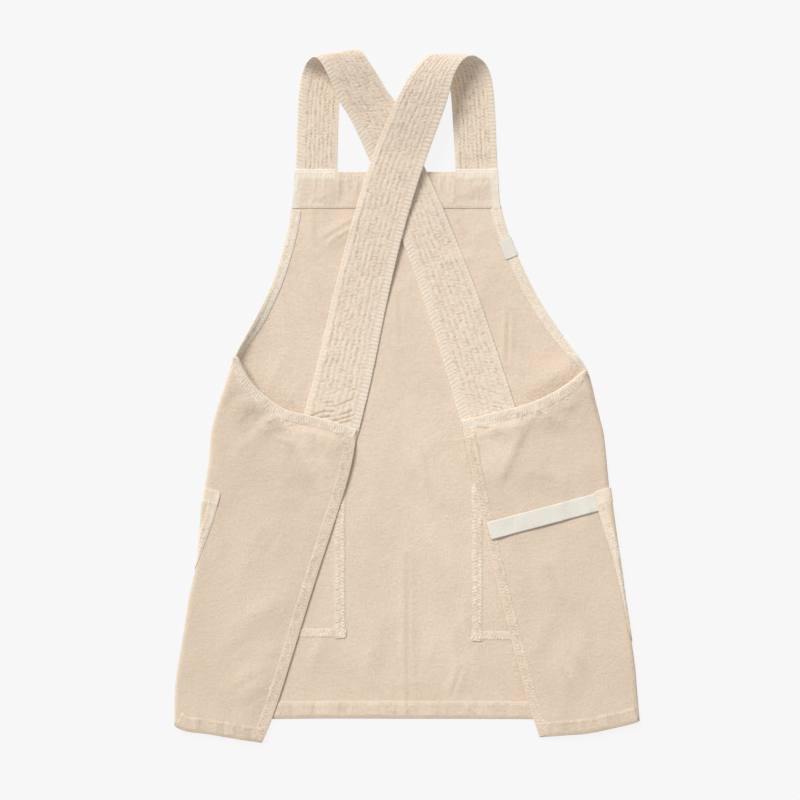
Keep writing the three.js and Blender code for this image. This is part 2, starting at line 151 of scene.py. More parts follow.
def cloth(name, points, wall, marks=None, lift=None, under=None, coarse=1):
    """A closed skin around a grid of middle points in millimetres, given as rows by columns by xyz.
    lift and under raise its two faces along their normals, marks are named values for the finish, and the
    underside takes every point, or only every third one where coarse is 3."""
    flat = np.zeros(points.shape[:2])
    normal = normals_of(points)
    few = slice(None, None, coarse)
    outer = points + normal * (flat + wall / 2 + (flat if lift is None else lift))[..., None]
    inner = points - normal * (flat + wall / 2 + (flat if under is None else under))[..., None]
    inner = inner[few, few]
    verts = np.concatenate([outer.reshape(-1, 3), inner.reshape(-1, 3)]) * MM
    above = np.arange(flat.size).reshape(flat.shape)
    below = flat.size + np.arange(inner[..., 0].size).reshape(inner.shape[:2])
    quads = np.concatenate([tiles(above), tiles(below)[:, ::-1]])
    rim, low = border(above), border(below)
    turns = [np.roll(rim, -step_on)[::coarse] for step_on in range(coarse, -1, -1)]
    walls = np.stack(turns + [low, np.roll(low, -1)], -1)
    corners = np.concatenate([quads.ravel(), walls.ravel()])
    sides = np.concatenate([np.full(len(quads), 4), np.full(len(walls), coarse + 3)])
    mesh = bpy.data.meshes.new(name)
    mesh.vertices.add(len(verts))
    mesh.vertices.foreach_set("co", verts.astype(np.float32).ravel())
    mesh.loops.add(len(corners))
    mesh.loops.foreach_set("vertex_index", corners.astype(np.int32))
    mesh.polygons.add(len(sides))
    mesh.polygons.foreach_set("loop_start", (np.cumsum(sides) - sides).astype(np.int32))
    mesh.polygons.foreach_set("use_smooth", np.ones(len(sides), bool))
    mesh.update(calc_edges=True)
    steps_across = np.linalg.norm(np.diff(points, axis=1), axis=-1).mean(0)
    steps_along = np.linalg.norm(np.diff(points, axis=0), axis=-1).mean(1)
    u = np.concatenate([[0], np.cumsum(steps_across)]) * MM
    v = np.concatenate([[0], np.cumsum(steps_along)]) * MM
    grid_uv = np.stack(np.meshgrid(u, v), -1)
    both_uv = np.concatenate([grid_uv.reshape(-1, 2), grid_uv[few, few].reshape(-1, 2)])
    layer = mesh.uv_layers.new(name="cloth")
    layer.data.foreach_set("uv", both_uv[corners].astype(np.float32).ravel())
    for mark, values in (marks or {}).items():
        attribute = mesh.attributes.new(mark, "FLOAT", "POINT")
        both = np.concatenate([values.ravel(), values[few, few].ravel()])
        attribute.data.foreach_set("value", both.astype(np.float32))
    piece = bpy.data.objects.new(name, mesh)
    bpy.context.scene.collection.objects.link(piece)
    outer_face[name] = outer
    print(f"{name}: {(sides - 2).sum()} triangles")
    return piece


# %% [markdown]
# The outline of the laid smock is given in millimetres on the floor. It keeps to the solids within a few
# millimetres. The body is one cloth: a front that lies face down and two wraps folded over it from the
# sides, which stop short of each other at the back. The armholes run from the bib to the side folds.

# %% Outline of the laid smock
SIDES = {"left": 1, "right": -1}
FOLD = {
    "left": [
        (-335, -478), (-333, -415), (-319, -326), (-313, -288), (-303, -243), (-297, -195), (-293, -150),
        (-285, -95), (-278, -36), (-247, 56)],
    "right": [
        (338, -471), (334, -425), (330, -383), (316, -291), (296, -152), (287, -65), (281, -36),
        (261, 38)],
}
ARMHOLE = {
    "left": [(-247, 56), (-216, 115), (-190, 172), (-169, 248), (-161, 327)],
    "right": [(261, 38), (231, 80), (190, 142), (156, 213), (138, 268), (133, 327)],
}
WRAP_TOP = {
    "left": [(-72, -50), (-113, -36), (-148, -28), (-180, -18), (-220, 14), (-247, 56)],
    "right": [(81, -37), (122, -27), (181, -11), (226, 11), (261, 38)],
}
WRAP_INNER = {
    "left": [(-209, -502), (-186, -442), (-132, -268), (-85, -121), (-72, -50)],
    "right": [(194, -494), (173, -427), (132, -268), (99, -123), (81, -37)],
}
WRAP_BOTTOM = {
    "left": [(-209, -502), (-252, -495), (-287, -489), (-318, -485), (-335, -478)],
    "right": [(194, -494), (229, -491), (264, -488), (312, -478), (338, -471)],
}
FRONT_BOTTOM = [(-335, -478), (-205, -468), (0, -467), (205, -468), (338, -471)]
POCKET = {
    "left": dict(
        inner=-86, outer=[(-314, -283), (-309, -263), (-279, -180), (-269, -140)], mouth=-133, base=-352),
    "right": dict(
        inner=94, outer=[(323.5, -345), (312, -288), (299, -235), (281.5, -176), (272, -140)],
        mouth=-133, base=-356),
}
CANVAS = 1.1
FOLD_RADIUS = 2.5
BIB_TOP = 327
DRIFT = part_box("bib_band")[1][1] / MM - BIB_TOP

fold_edge = {side: edge(FOLD[side]) for side in SIDES}
armhole = {side: edge(ARMHOLE[side]) for side in SIDES}
wrap_top = {side: edge(WRAP_TOP[side]) for side in SIDES}
wrap_inner = {side: edge(WRAP_INNER[side]) for side in SIDES}
wrap_bottom = {side: edge(WRAP_BOTTOM[side]) for side in SIDES}
front_bottom = edge(FRONT_BOTTOM)
print("frame drift in y:", round(DRIFT, 3), "mm")


# %% Where a point lies against an edge
NEAR_SAMPLES = 260


def nearest(run, x, y):
    """Distance from each point to an edge, and how far along the edge in millimetres that is."""
    line = run(np.linspace(0, 1, NEAR_SAMPLES))
    length = lengths(line)
    start, stride = line[:-1], np.diff(line, axis=0)
    size = (stride ** 2).sum(1)
    flat = np.stack([x.ravel(), y.ravel()], -1)
    away, along = [], []
    for part in np.array_split(flat, len(flat) // 6000 + 1):
        to = part[:, None] - start
        share = np.clip((to * stride).sum(-1) / size, 0, 1)
        gap = ((to - share[..., None] * stride) ** 2).sum(-1)
        best = gap.argmin(1)
        pick = np.arange(len(part)), best
        away.append(np.sqrt(gap[pick]))
        along.append(length[best] + share[pick] * np.sqrt(size[best]))
    return np.concatenate(away).reshape(x.shape), np.concatenate(along).reshape(x.shape)


def edge_x(run, y):
    """Where an edge is across the smock, for places up it."""
    line = run(np.linspace(0, 1, 400))
    return np.interp(y, line[:, 1], line[:, 0])


def fold_x(side, y):
    return edge_x(fold_edge[side], y)


# %% [markdown]
# The front lies on the floor and on the pockets under it. Washed canvas never lies quite flat, so it
# gets slow waves, a fine crumple, and the creases that can be seen: each is a soft ridge along a line.

# %% Height of the front
FRONT_CREASES = [
    (2, -230, 3, -450, -2.2, 4.5), (-129, 266, -129, 214, -2.6, 5), (-118, 225, -82, 249, -2.8, 4.5),
    (-104, 221, -86, 236, -2.2, 4), (-9, 149, -8, 76, -1.8, 4), (149, 124, 146, 48, -2.4, 4),
    (76, 252, 90, 230, -2.2, 4), (80, -395, 66, -436, -2.0, 4.5), (28, -90, 40, -150, -1.4, 6),
    (84, -302, 92, -356, 1.5, 8), (-60, 150, -104, 60, 0.8, 16), (60, -40, -20, -150, 0.8, 18),
    (-70, -170, 30, -250, 0.8, 20), (-150, 200, -120, 120, 1.1, 10), (120, 190, 96, 100, 1.1, 12),
    (-30, -320, -64, -420, 1.0, 12), (60, -380, 100, -440, 0.9, 10), (-50, -15, 10, -90, 0.8, 14),
    (-176, 62, -196, 20, 1.2, 9), (152, 60, 186, 12, 1.2, 10), (-122, -352, -136, -392, 1.6, 7),
]
POCKET_LIFT = 1.5
POCKET_MARGIN = 26
POCKET_RAMP = 60
TAB_ALONG = 0.645
TAB_MIDDLE = armhole["right"](TAB_ALONG)
TAB_LIFT = 1.2
TAB_MARGIN = 34


def place_on(x, y, x0, y0, x1, y1):
    """The nearest share of the way along a line to each point, and the distance from it."""
    run = np.array([x1 - x0, y1 - y0], float)
    share = np.clip(((x - x0) * run[0] + (y - y0) * run[1]) / (run @ run), 0, 1)
    return share, np.hypot(x - x0 - share * run[0], y - y0 - share * run[1])


def crease(x, y, creases):
    """Height of soft ridges along the listed lines, each with its ends, its rise and its sideways reach.
    A rise below nought is a sunk line between two ridges."""
    height = np.zeros_like(x)
    for *ends, rise, reach in creases:
        share, away = place_on(x, y, *ends)
        away = away / reach
        if rise > 0:
            ridge = np.exp(-away ** 1.4)
        else:
            ridge = np.exp(-(1.3 * away) ** 1.6) - np.exp(-(away / 2.2) ** 2)
        height += rise * ridge * (0.35 + 0.65 * np.sin(np.pi * np.clip(share, 0.12, 0.88)))
    return height


def sunk(x, y, creases):
    """How deep a place is in a sunk line, 0 to 1, which sets the painted shade in the creases."""
    depth = np.zeros_like(x)
    for *ends, rise, reach in creases:
        _, away = place_on(x, y, *ends)
        away = away / reach
        depth = np.maximum(depth, np.clip(-rise / 3, 0, 1) * np.exp(-(away / 0.8) ** 2))
    return depth


def front_base(x, y):
    """Height of the front's underside over the floor, lifted by the pockets."""
    lift = np.zeros_like(x)
    for side, inwards in SIDES.items():
        size = POCKET[side]
        beyond = np.maximum(inwards * (x - size["inner"]), 0)
        above = np.maximum(np.maximum(size["base"] - y, y - size["mouth"]), 0)
        away = np.hypot(beyond, above) - POCKET_MARGIN
        lift = np.maximum(lift, POCKET_LIFT * (1 - step(away, 0, POCKET_RAMP)))
    tab = np.hypot(x - TAB_MIDDLE[0], y - TAB_MIDDLE[1]) - TAB_MARGIN
    return np.maximum(lift, TAB_LIFT * (1 - step(tab, 0, POCKET_RAMP)))


def crumple(x, y, seed):
    """A fine crumple of thin crests, stronger in some places than in others."""
    where = 0.25 + 0.75 * step(noise(x / 85, y / 85, seed), 0.3, 0.75)
    slow = noise(x / 95 + 3, y / 130 + 9, seed + 1)
    thin = ridges(x / 31 + 0.4 * noise(x / 14, y / 14, seed + 2), y / 44, seed + 3) ** 2
    return 0.9 * slow + where * 0.75 * thin


ARM_CURL = {"left": 11.5, "right": 3.0}
ARM_REACH = {"left": 84, "right": 40}
facing_run = {side: edge([fold_edge[side](0.8), fold_edge[side](0.9), *ARMHOLE[side]]) for side in SIDES}


def arm_curl(x, y):
    """The armhole edge stands up towards the points under the arms, and the front inside it stays low."""
    lift = np.zeros_like(x)
    for side, run in facing_run.items():
        px, py = armhole[side](0)
        close = np.hypot(x - px, y - py) < 150
        away, along = nearest(run, x[close], y[close])
        _, point = nearest(run, np.array([px]), np.array([py]))
        reach = np.where(along > point, ARM_REACH[side], 34)
        lift[close] += ARM_CURL[side] * np.exp(-(away / 7.5) ** 1.6 - ((along - point) / reach) ** 2)
    return lift


def right_dent(x, y):
    """A fold of the front beside the right arm: high on its left, falling away to the facing."""
    away = x - np.interp(y, [28, 37, 52], [238, 234.5, 230])
    shape = np.where(away < 0, np.exp(-(away / 60) ** 2), np.exp(-(np.abs(away) / 12) ** 1.5))
    return 3.2 * shape * np.exp(-((y - 34) / 24) ** 2)


SHOULDER = {"left": 1.6, "right": 1.9}


def shoulder(x, y):
    """A roll of the front just above each wrap's bound edge, which falls away under the wrap."""
    lift = np.zeros_like(x)
    for side, run in wrap_top.items():
        line = run(np.linspace(0, 1, 400))
        order = line[:, 0].argsort()
        above = y - np.interp(x, line[order, 0], line[order, 1])
        close = (above > -2) & (above < 80) & (SIDES[side] * x < -60)
        away, along = nearest(run, x[close], y[close])
        roll = np.exp(-((away - 20) / 12) ** 2) * step(above[close], -2, 3)
        lift[close] += SHOULDER[side] * roll * step(along, 80, 112)
    return lift


def front_lie(x, y):
    """Middle height of the front's cloth over the floor, without its curled armhole edges."""
    return CANVAS / 2 + front_base(x, y) + crumple(x, y, 11) + crease(x, y, FRONT_CREASES)


def front_height(x, y):
    return front_lie(x, y) + arm_curl(x, y) + right_dent(x, y) + shoulder(x, y)


# %% [markdown]
# A wrap lies over the front with some air between, most of all along the side fold and under its armhole
# edge. The bound armhole edge is drawn up by its stitching, and short wrinkles run down from it.

# %% Height of the wraps
WRAP_CREASES = {
    "left": [
        (-184, -36, -202, -43, -5.0, 3.4), (-202, -43, -213, -58, -4.6, 3.6),
        (-213, -58, -241, -87, -3.0, 4), (-242, -9, -219, -14, -4.0, 3.2),
        (-187, -66, -167, -72, -2.8, 3.2), (-138, -74, -129, -57, -3.2, 3.4),
        (-106, -70, -100, -58, -3.4, 3.2), (-124, -72, -112, -78, -2.4, 3.2),
        (-246, -30, -230, -16, -2.6, 4), (-236, -40, -222, -20, -2.6, 4),
        (-154, -64, -117, -116, 1.8, 5.5), (-168, -50, -172, -92, 1.2, 7),
        (-120, -62, -96, -96, 2.0, 5), (-191, -231, -178, -202, 1.3, 5),
        (-254, -338, -188, -298, 2.0, 13), (-218, -378, -186, -364, 1.8, 9),
        (-252, -438, -203, -415, 1.8, 10), (-226, -402, -196, -392, 1.3, 8),
        (-262, -150, -225, -250, 1.0, 14), (-150, -330, -176, -268, 1.2, 10),
        (-250, -425, -205, -398, -2.4, 5), (-232, -448, -200, -428, -2.2, 5),
        (-262, -372, -214, -346, -2.0, 6), (-226, -232, -204, -196, -1.6, 5),
    ],
    "right": [
        (104, -49, 130, -49, -3.4, 3.4), (130, -49, 160, -64, -3.4, 3.4),
        (172, -46, 158, -70, 1.2, 3.6), (158, -70, 138, -116, 1.2, 3.6),
        (192, -26, 213, -38, -4.2, 3.4), (213, -38, 234, -46, -3.0, 3.6),
        (163, -28, 164, -46, -3.8, 3), (112, -58, 108, -76, -2.4, 3.4),
        (229, -112, 227, -138, 1.5, 6), (150, -140, 190, -230, 1.0, 14),
        (250, -110, 266, -180, 1.2, 10), (220, -300, 180, -380, 1.2, 14),
        (262, -330, 236, -420, 1.2, 12), (236, -372, 262, -398, -2.2, 5),
        (226, -396, 240, -424, -2.2, 5), (206, -250, 228, -300, -1.6, 7),
        (180, -118, 236, -128, -1.6, 5),
    ],
}
GUSSET = {"left": ((-173, -52), (-127, -135)), "right": ((175, -49), (142, -118))}
LOFT_FOLD = 3.8
LOFT_MIDDLE = 1.5
LOFT_STACK = 2.3
LOFT_FADE = 70
EDGE_ROOM = 1.5
GUSSET_RISE = 1.7
WRINKLE_RISE = 3.4
WRINKLE_PITCH = 11
ARM_RISE = {"left": 10.0, "right": 6.0}


def arm_rise(side, x, y):
    """How far the point under the arm stands open."""
    px, py = armhole[side](0)
    return ARM_RISE[side] * np.exp(-((x - px) / 60) ** 2 - ((y - py) / 66) ** 2)


def gusset(side, x, y):
    """The three-cornered piece behind a wrap's inner corner presses through it: its height, 0 to 1."""
    (x0, y0), (x1, y1) = GUSSET[side]
    away = ((x - x0) * (y1 - y0) - (y - y0) * (x1 - x0)) / math.hypot(x1 - x0, y1 - y0) * -SIDES[side]
    return step(away, -0.6, 1.8) * step(y, y1 - 22, y1 + 8)


def wrap_room(side, x, y):
    """Air between the front and a wrap."""
    from_fold = np.maximum(SIDES[side] * (x - fold_x(side, y)) - FOLD_RADIUS, 0)
    at_fold = np.exp(-from_fold / LOFT_FADE)
    stack = step(y, -150, -90) + 1 - step(y, -435, -375)
    from_top, along = nearest(wrap_top[side], x, y)
    drawn = np.exp(-np.maximum(from_top - 16, 0) / 26)
    sway = 1.3 * noise(from_top / 20, along / 26, 31)
    wrinkle = ridges(along / WRINKLE_PITCH + sway, from_top / 55, 32) ** 3.5
    folds = crease(x, y, WRAP_CREASES[side]) * step(from_fold, 0, 25)
    open_room = LOFT_MIDDLE + LOFT_STACK * stack + 1.3 * crumple(x, y, 41)
    from_inner, _ = nearest(wrap_inner[side], x, y)
    droop = step(from_inner, 0, 32)
    at_edge = EDGE_ROOM + 0.2 * step(y, -110, -62)
    open_room = open_room * droop + at_edge * (1 - droop)
    room = open_room * (1 - at_fold) + LOFT_FOLD * at_fold + folds * step(from_inner, 4, 18)
    pressed = gusset(side, x, y) * step(from_fold, 20, 60) * step(from_top, 13, 26)
    room = room + GUSSET_RISE * pressed + 1.2 * np.exp(-from_top / 14)
    return room + WRINKLE_RISE * wrinkle * drawn * step(from_top, 11, 24) + arm_rise(side, x, y)


def wrap_height(side, x, y):
    """Middle height of a wrap's cloth over the floor."""
    return front_lie(x, y) + CANVAS + wrap_room(side, x, y)


# %% [markdown]
# The body cloth is one grid that runs from the left wrap's inner edge, round the left fold, over the
# front and round the right fold to the other wrap, as the real one is cut from one width of canvas.

# %% Body cloth
BODY_ROWS = 232
WRAP_COLUMNS = 100
FOLD_COLUMNS = 7
ARMHOLE_COLUMNS = 47
BIB_COLUMNS = 73


def fold_start(side):
    """Where the cloth leaves the front for the side fold. The fold closes up towards the arm."""
    def start(v):
        inset = FOLD_RADIUS + 2.0 * step(np.asarray(v, float), 0.93, 1)
        return fold_edge[side](v) + np.stack([SIDES[side] * inset, 0 * inset], -1)

    return start


def bib_dip(x):
    """The bib's top edge sinks a little between the two strap ends."""
    return 4.0 * bump(x, -103.5, 75.5, 3)


def front_top(u):
    """The front's upper edge: left armhole, bib and right armhole, a third of the way each."""
    u = np.asarray(u, float)
    rise = np.clip(3 * u, 0, 1)
    fall = np.clip(3 - 3 * u, 0, 1)
    across = np.clip(3 * u - 1, 0, 1)[..., None]
    left = armhole["left"](rise) + np.stack([FOLD_RADIUS * (1 - rise), 0 * rise], -1)
    right = armhole["right"](fall) - np.stack([FOLD_RADIUS * (1 - fall), 0 * fall], -1)
    bib = armhole["left"](1) * (1 - across) + armhole["right"](1) * across
    bib[..., 1] -= bib_dip(bib[..., 0])
    on_left = (u < 1 / 3)[..., None]
    on_bib = (u <= 2 / 3)[..., None]
    return np.where(on_left, left, np.where(on_bib, bib, right))


def front_low(u):
    return front_bottom(u) + np.stack([FOLD_RADIUS * (1 - 2 * u), 0 * u], -1)


def wrap_flat(side, t, v):
    """Points of a wrap on the floor plan, t from its inner edge to the fold and v from its hem up."""
    inset = SIDES[side] * FOLD_RADIUS

    def turned(run):
        return lambda share: run(share) + np.stack([inset * share, 0 * share], -1)

    low, high = turned(wrap_bottom[side]), turned(wrap_top[side])
    return patch(low, high, wrap_inner[side], fold_start(side), t, v)


def with_height(flat, height):
    return np.concatenate([flat, height[..., None]], -1)


levels = np.interp(np.linspace(0, 1, BODY_ROWS), [0, 0.1, 0.45, 1], [0, 0.1, 0.58, 1])
shares = np.concatenate([
    np.linspace(0, 1 / 3, ARMHOLE_COLUMNS),
    np.linspace(1 / 3, 2 / 3, BIB_COLUMNS)[1:],
    np.linspace(2 / 3, 1, ARMHOLE_COLUMNS)[1:],
])
u, v = np.meshgrid(shares, levels)
front_flat = patch(front_low, front_top, fold_start("left"), fold_start("right"), u, v)
front_points = with_height(front_flat, front_height(front_flat[..., 0], front_flat[..., 1]))
wrap_points = {}
for side in SIDES:
    t, v = np.meshgrid(np.linspace(0, 1, WRAP_COLUMNS), levels)
    flat = wrap_flat(side, t, v)
    wrap_points[side] = with_height(flat, wrap_height(side, flat[..., 0], flat[..., 1]))


def turn_points(side):
    """The rounded side fold between the front and a wrap, from the front up."""
    low = front_points[:, 0 if side == "left" else -1]
    high = wrap_points[side][:, -1]
    columns = []
    for share in np.linspace(0, 1, FOLD_COLUMNS + 2)[1:-1]:
        point = low * (1 - share) + high * share
        point[:, 0] -= SIDES[side] * FOLD_RADIUS * math.sin(math.pi * share)
        point[:, 2] = low[:, 2] + (high[:, 2] - low[:, 2]) * (1 - math.cos(math.pi * share)) / 2
        columns.append(point)
    return np.stack(columns, 1)


def settle(points):
    """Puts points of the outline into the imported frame."""
    return points + np.array([0, DRIFT, 0])


body_points = np.concatenate([
    wrap_points["left"],
    turn_points("left")[:, ::-1],
    front_points,
    turn_points("right"),
    wrap_points["right"][:, ::-1],
], 1)
tone = np.zeros(body_points.shape[:2])
drawn = np.zeros(body_points.shape[:2])
x, y = body_points[..., 0], body_points[..., 1]
for side, columns in {"left": slice(0, WRAP_COLUMNS), "right": slice(-WRAP_COLUMNS, None)}.items():
    wrap_x, wrap_y = x[:, columns], y[:, columns]
    in_crease = sunk(wrap_x, wrap_y, WRAP_CREASES[side])
    # Wraps: a little darker dye all over, rubbed paler over the gusset, and painted shade in the sunk
    # creases.
    tone[:, columns] = -0.15 + 0.2 * gusset(side, wrap_x, wrap_y) - 0.2 * in_crease
across_front = slice(WRAP_COLUMNS + FOLD_COLUMNS, -WRAP_COLUMNS - FOLD_COLUMNS)
front_x, front_y = x[:, across_front], y[:, across_front]
# Front: painted shade, darker towards the bottom and in the sunk creases.
tone[:, across_front] = -0.08 * step(-front_y, 100, 420) - 0.15 * sunk(front_x, front_y, FRONT_CREASES)
for side in SIDES:
    for seam, reach in ((wrap_top[side], 30), (wrap_inner[side], 12), (armhole[side], 14)):
        away, _ = nearest(seam, x, y)
        drawn = np.maximum(drawn, np.exp(-away / reach))
body = cloth("body_cloth", settle(body_points), CANVAS, {"wear_and_shade": tone, "drawn": drawn}, coarse=3)

# %% [markdown]
# Every edge of the real smock is finished with a stitched strip: a hem turned in, a binding folded round
# the edge, or a facing laid inside. After dyeing and washing these strips shrink along their stitches,
# so they stand out as paler bands with small cross ripples. Each one is made here as a ribbon along its
# edge, given by a profile: the distance in from the edge, the level over the cloth's middle and the wall.
# A texture gives the height of its puckers and how much paler they are rubbed, or how dark shade is
# painted into their dips.

# %% Ribbons along the edges
LEAF = 0.7


def profile_of(width, count, stand, lower=0.0, soft=0.0):
    """Distances, levels and walls of a ribbon's profile: upper leaf, rounded edge and lower leaf.
    stand is how far the upper leaf's face is over the cloth, and soft how far its border sinks away."""
    leaf = min(LEAF, max(stand - 0.05, 0.2))
    middle = CANVAS / 2 + stand - leaf / 2
    inwards = np.linspace(width, 0, count)
    fade = step(inwards, width - soft, width) if soft else np.zeros(count)
    level = middle * (1 - fade) + (CANVAS / 2 - 0.3) * fade
    wall = leaf * (1 - fade) + 0.16 * fade
    if lower:
        turn = np.linspace(0, np.pi, 7)[1:-1]
        back = np.linspace(0, lower, max(3, count // 2))
        inwards = np.concatenate([inwards, -0.8 * np.sin(turn), back])
        level = np.concatenate([level, middle * np.cos(turn), np.full(len(back), -middle)])
    else:
        inwards = np.concatenate([inwards, [-0.7, -1.0, -1.0]])
        level = np.concatenate([level, [middle - 0.15, middle - 0.6, middle - 1.0]])
    wall = np.concatenate([wall, np.full(len(inwards) - len(wall), leaf)])
    return inwards, level, wall


def ribbon(name, run, span, inside, height, profile, cell, texture, adjust=None, taper=None):
    """A ribbon along part of an edge. inside is +1 or -1 for the side of the edge that the cloth is on,
    and height gives the cloth's middle."""
    inwards, level, wall = profile
    share = np.linspace(span[0], span[1], 2000)
    line = run(share)
    length = lengths(line)
    along = np.linspace(0, length[-1], int(length[-1] / cell) + 2)
    middle = run(np.interp(along, length, share))
    tangent = np.gradient(middle, axis=0)
    tangent /= np.linalg.norm(tangent, axis=1, keepdims=True)
    normal = inside * np.stack([-tangent[:, 1], tangent[:, 0]], -1)
    narrow = taper(along) if taper else np.ones_like(along)
    flat = middle[None] + normal[None] * (inwards[:, None] * narrow[None])[..., None]
    if adjust:
        flat = adjust(flat, inwards[:, None])
    z = height(flat[..., 0], flat[..., 1]) + level[:, None]
    points = with_height(flat, z)
    lift, wear_and_shade = texture(*np.broadcast_arrays(along[None], inwards[:, None]))
    lift = lift * narrow[None]
    wall = np.broadcast_to(wall[:, None], lift.shape)
    if normals_of(points)[1, len(along) // 2, 2] < 0:
        points, lift, wear_and_shade = points[:, ::-1], lift[:, ::-1], wear_and_shade[:, ::-1]
    return cloth(name, settle(points), wall, {"wear_and_shade": np.clip(wear_and_shade, -1, 1)}, lift)


# %% Textures of sewn edges
def ripples(along, across, pitch, seed, slant=0.0):
    """Pucker ripples from 0 to 1, uneven in pitch and in strength."""
    sway = 0.7 * noise(along / 17, across / 12, seed) + slant * across
    wave = 0.5 + 0.5 * np.sin(2 * np.pi * (along / pitch + sway))
    return wave * (0.35 + 0.65 * noise(along / 8 + 5, across / 6, seed + 1))


def sewn(width, rise, pitch, seed, rows, base, rim=0.4, lip=0.0, depth=1.7, tack=0.0):
    """A sewn band: cross ticks along each stitch row, and small lumps over all of it. rows gives each
    row's distance from the edge and the ticks' half length. rim, lip and tack are how much paler the
    edge, the inner border and the start of the band are. depth is how strongly the tone follows the
    height, rubbed paler on the crests and painted darker in the dips as shade."""
    def texture(along, inwards):
        sway = 0.7 * noise(along / 17, inwards / 60, seed)
        ticks = np.zeros_like(along)
        for number, (place, half) in enumerate(rows):
            lean = 0.06 * (inwards - place) * (1 - 2 * (number % 2))
            wave = 0.5 + 0.5 * np.sin(2 * np.pi * (along / pitch + sway + 0.5 * number + lean))
            ticks = np.maximum(ticks, wave * np.exp(-((inwards - place) / half) ** 4))
        lumps = noise(along / (0.55 * pitch), inwards / 2.4, seed + 1)
        strength = 0.3 + 0.7 * noise(along / 9 + 3, inwards / 7, seed + 2)
        within = bump(inwards, 0.4, width - 0.6, 2.5)
        height = within * (0.6 * ticks * strength + 0.4 * lumps)
        edge_pale = rim * np.exp(-np.abs(inwards) / 1.1) + lip * np.exp(-np.abs(width - inwards) / 1.1)
        start_pale = tack * (1 - step(along, 11, 14))
        # The tone follows the height: rubbed paler on the crests, painted darker in the dips as shade.
        return rise * height, base + depth * within * (height - 0.32) + edge_pale + start_pale

    return texture


def turned(width, seed, base, rim=0.2, lip=0.0, pucker_rise=0.8):
    """A hem that was turned twice: soft pleats across it, and puckers along its upper stitch row. Its
    tone follows the relief, rubbed paler where it rises and painted darker in the dips as shade.
    """
    def texture(along, inwards):
        pleat = noise(along / 6.5, inwards / 60, seed) * bump(inwards, 0.5, width, 5)
        upper = bump(inwards, width - 7.5, width - 0.5, 2.5) * ripples(along, inwards, 4.5, seed + 1)
        lower = bump(inwards, 0.6, 5, 2) * ripples(along, inwards, 5.2, seed + 3)
        lumps = noise(along / 2.6, inwards / 2.6, seed + 5) * bump(inwards, 0.5, width, 4)
        lift = 0.75 * pleat + pucker_rise * upper + 0.3 * lower + 0.2 * lumps
        edge_pale = rim * np.exp(-np.abs(inwards) / 1.2) + lip * np.exp(-np.abs(width - inwards) / 1.1)
        # The tone follows the pleats, puckers and lumps: paler on top, painted shade in the dips.
        return lift, base + 0.55 * (upper - 0.15) + 0.3 * (pleat - 0.4) + 0.35 * (lumps - 0.4) + edge_pale

    return texture


# %% Hems, bindings and facings
def on_wrap(side):
    return lambda x, y: wrap_height(side, x, y)


def narrowing(along):
    """A binding is narrower at the point under the arm."""
    return 0.25 + 0.75 * step(along.max() - along, 0, 26)


FACING_END = {"left": 0.855, "right": 0.88}
HEM_WIDTH = 24
BACK_HEM_WIDTH = 17
BINDING_WIDTH = 18
FACING_WIDTH = 14


def tapering(side):
    """A facing is narrower round the point under the arm."""
    _, point = nearest(facing_run[side], *armhole[side](0)[:, None])
    return lambda along: 0.6 + 0.4 * step(np.abs(along - point), 6, 70)


trims = {}
trims["hem_front"] = ribbon(
    "hem_front_cloth", front_bottom, (0.03, 0.97), 1, front_height, profile_of(HEM_WIDTH, 20, 0.6), 1.5,
    turned(HEM_WIDTH, 61, -0.1, lip=0.55, pucker_rise=0.4))
for number, (side, inwards) in enumerate(SIDES.items()):
    seed = 71 + 10 * number
    trims[f"hem_{side}"] = ribbon(
        f"hem_{side}_cloth", wrap_bottom[side], (0.0, 0.99), -inwards, on_wrap(side),
        profile_of(HEM_WIDTH, 20, 0.35, lower=20, soft=4), 1.4, turned(HEM_WIDTH - 1, seed, -0.2))
    trims[f"back_hem_{side}"] = ribbon(
        f"back_hem_{side}_cloth", wrap_inner[side], (0.0, 1.0), inwards, on_wrap(side),
        profile_of(BACK_HEM_WIDTH, 18, 0.45, lower=13, soft=4), 1.15,
        sewn(BACK_HEM_WIDTH - 1, 0.8, 4.7, seed + 2, ((4.2, 3.6), (11.6, 3.6)), -0.12, 0.3, 0.3, 1.5))
    trims[f"binding_{side}"] = ribbon(
        f"binding_{side}_cloth", wrap_top[side], (0.0, 0.995), inwards, on_wrap(side),
        profile_of(BINDING_WIDTH, 20, 0.55, lower=12, soft=7), 0.85,
        sewn(BINDING_WIDTH - 2, 1.2, 3.6, seed + 4, ((6.8, 6.4),), 0.26, 0.5, depth=1.9, tack=0.5),
        taper=narrowing)
    trims[f"facing_{side}"] = ribbon(
        f"facing_{side}_cloth", facing_run[side], (0.0, FACING_END[side]), -inwards, front_height,
        profile_of(FACING_WIDTH, 13, 0.4), 1.4,
        sewn(FACING_WIDTH, 1.0, 4.3, seed + 6, ((3.6, 2.6), (10.2, 2.6)), 0.56, 0.2, 0.6, depth=2.6),
        taper=tapering(side))

# %% [markdown]
# The bib band is the widest strip. The strap ends are caught under its upper part, which lifts it there,
# and its top edge and its short ends are drawn up by their stitching.

# %% Bib band
BAND_HEIGHT = 56
STRAP_ENDS = {"left": (-129.5, 60), "right": (101.5, 61)}
STRAP_TUCK = 22


def band_height(x, y):
    lift = np.zeros_like(x)
    for middle, width in STRAP_ENDS.values():
        beside = np.maximum(np.abs(x - middle) - width / 2, 0)
        below = np.maximum(BIB_TOP - STRAP_TUCK - y, 0)
        lift = np.maximum(lift, 1 - step(np.hypot(beside / 0.4, below), 3, 30))
    return front_height(x, y) + 1.5 * lift


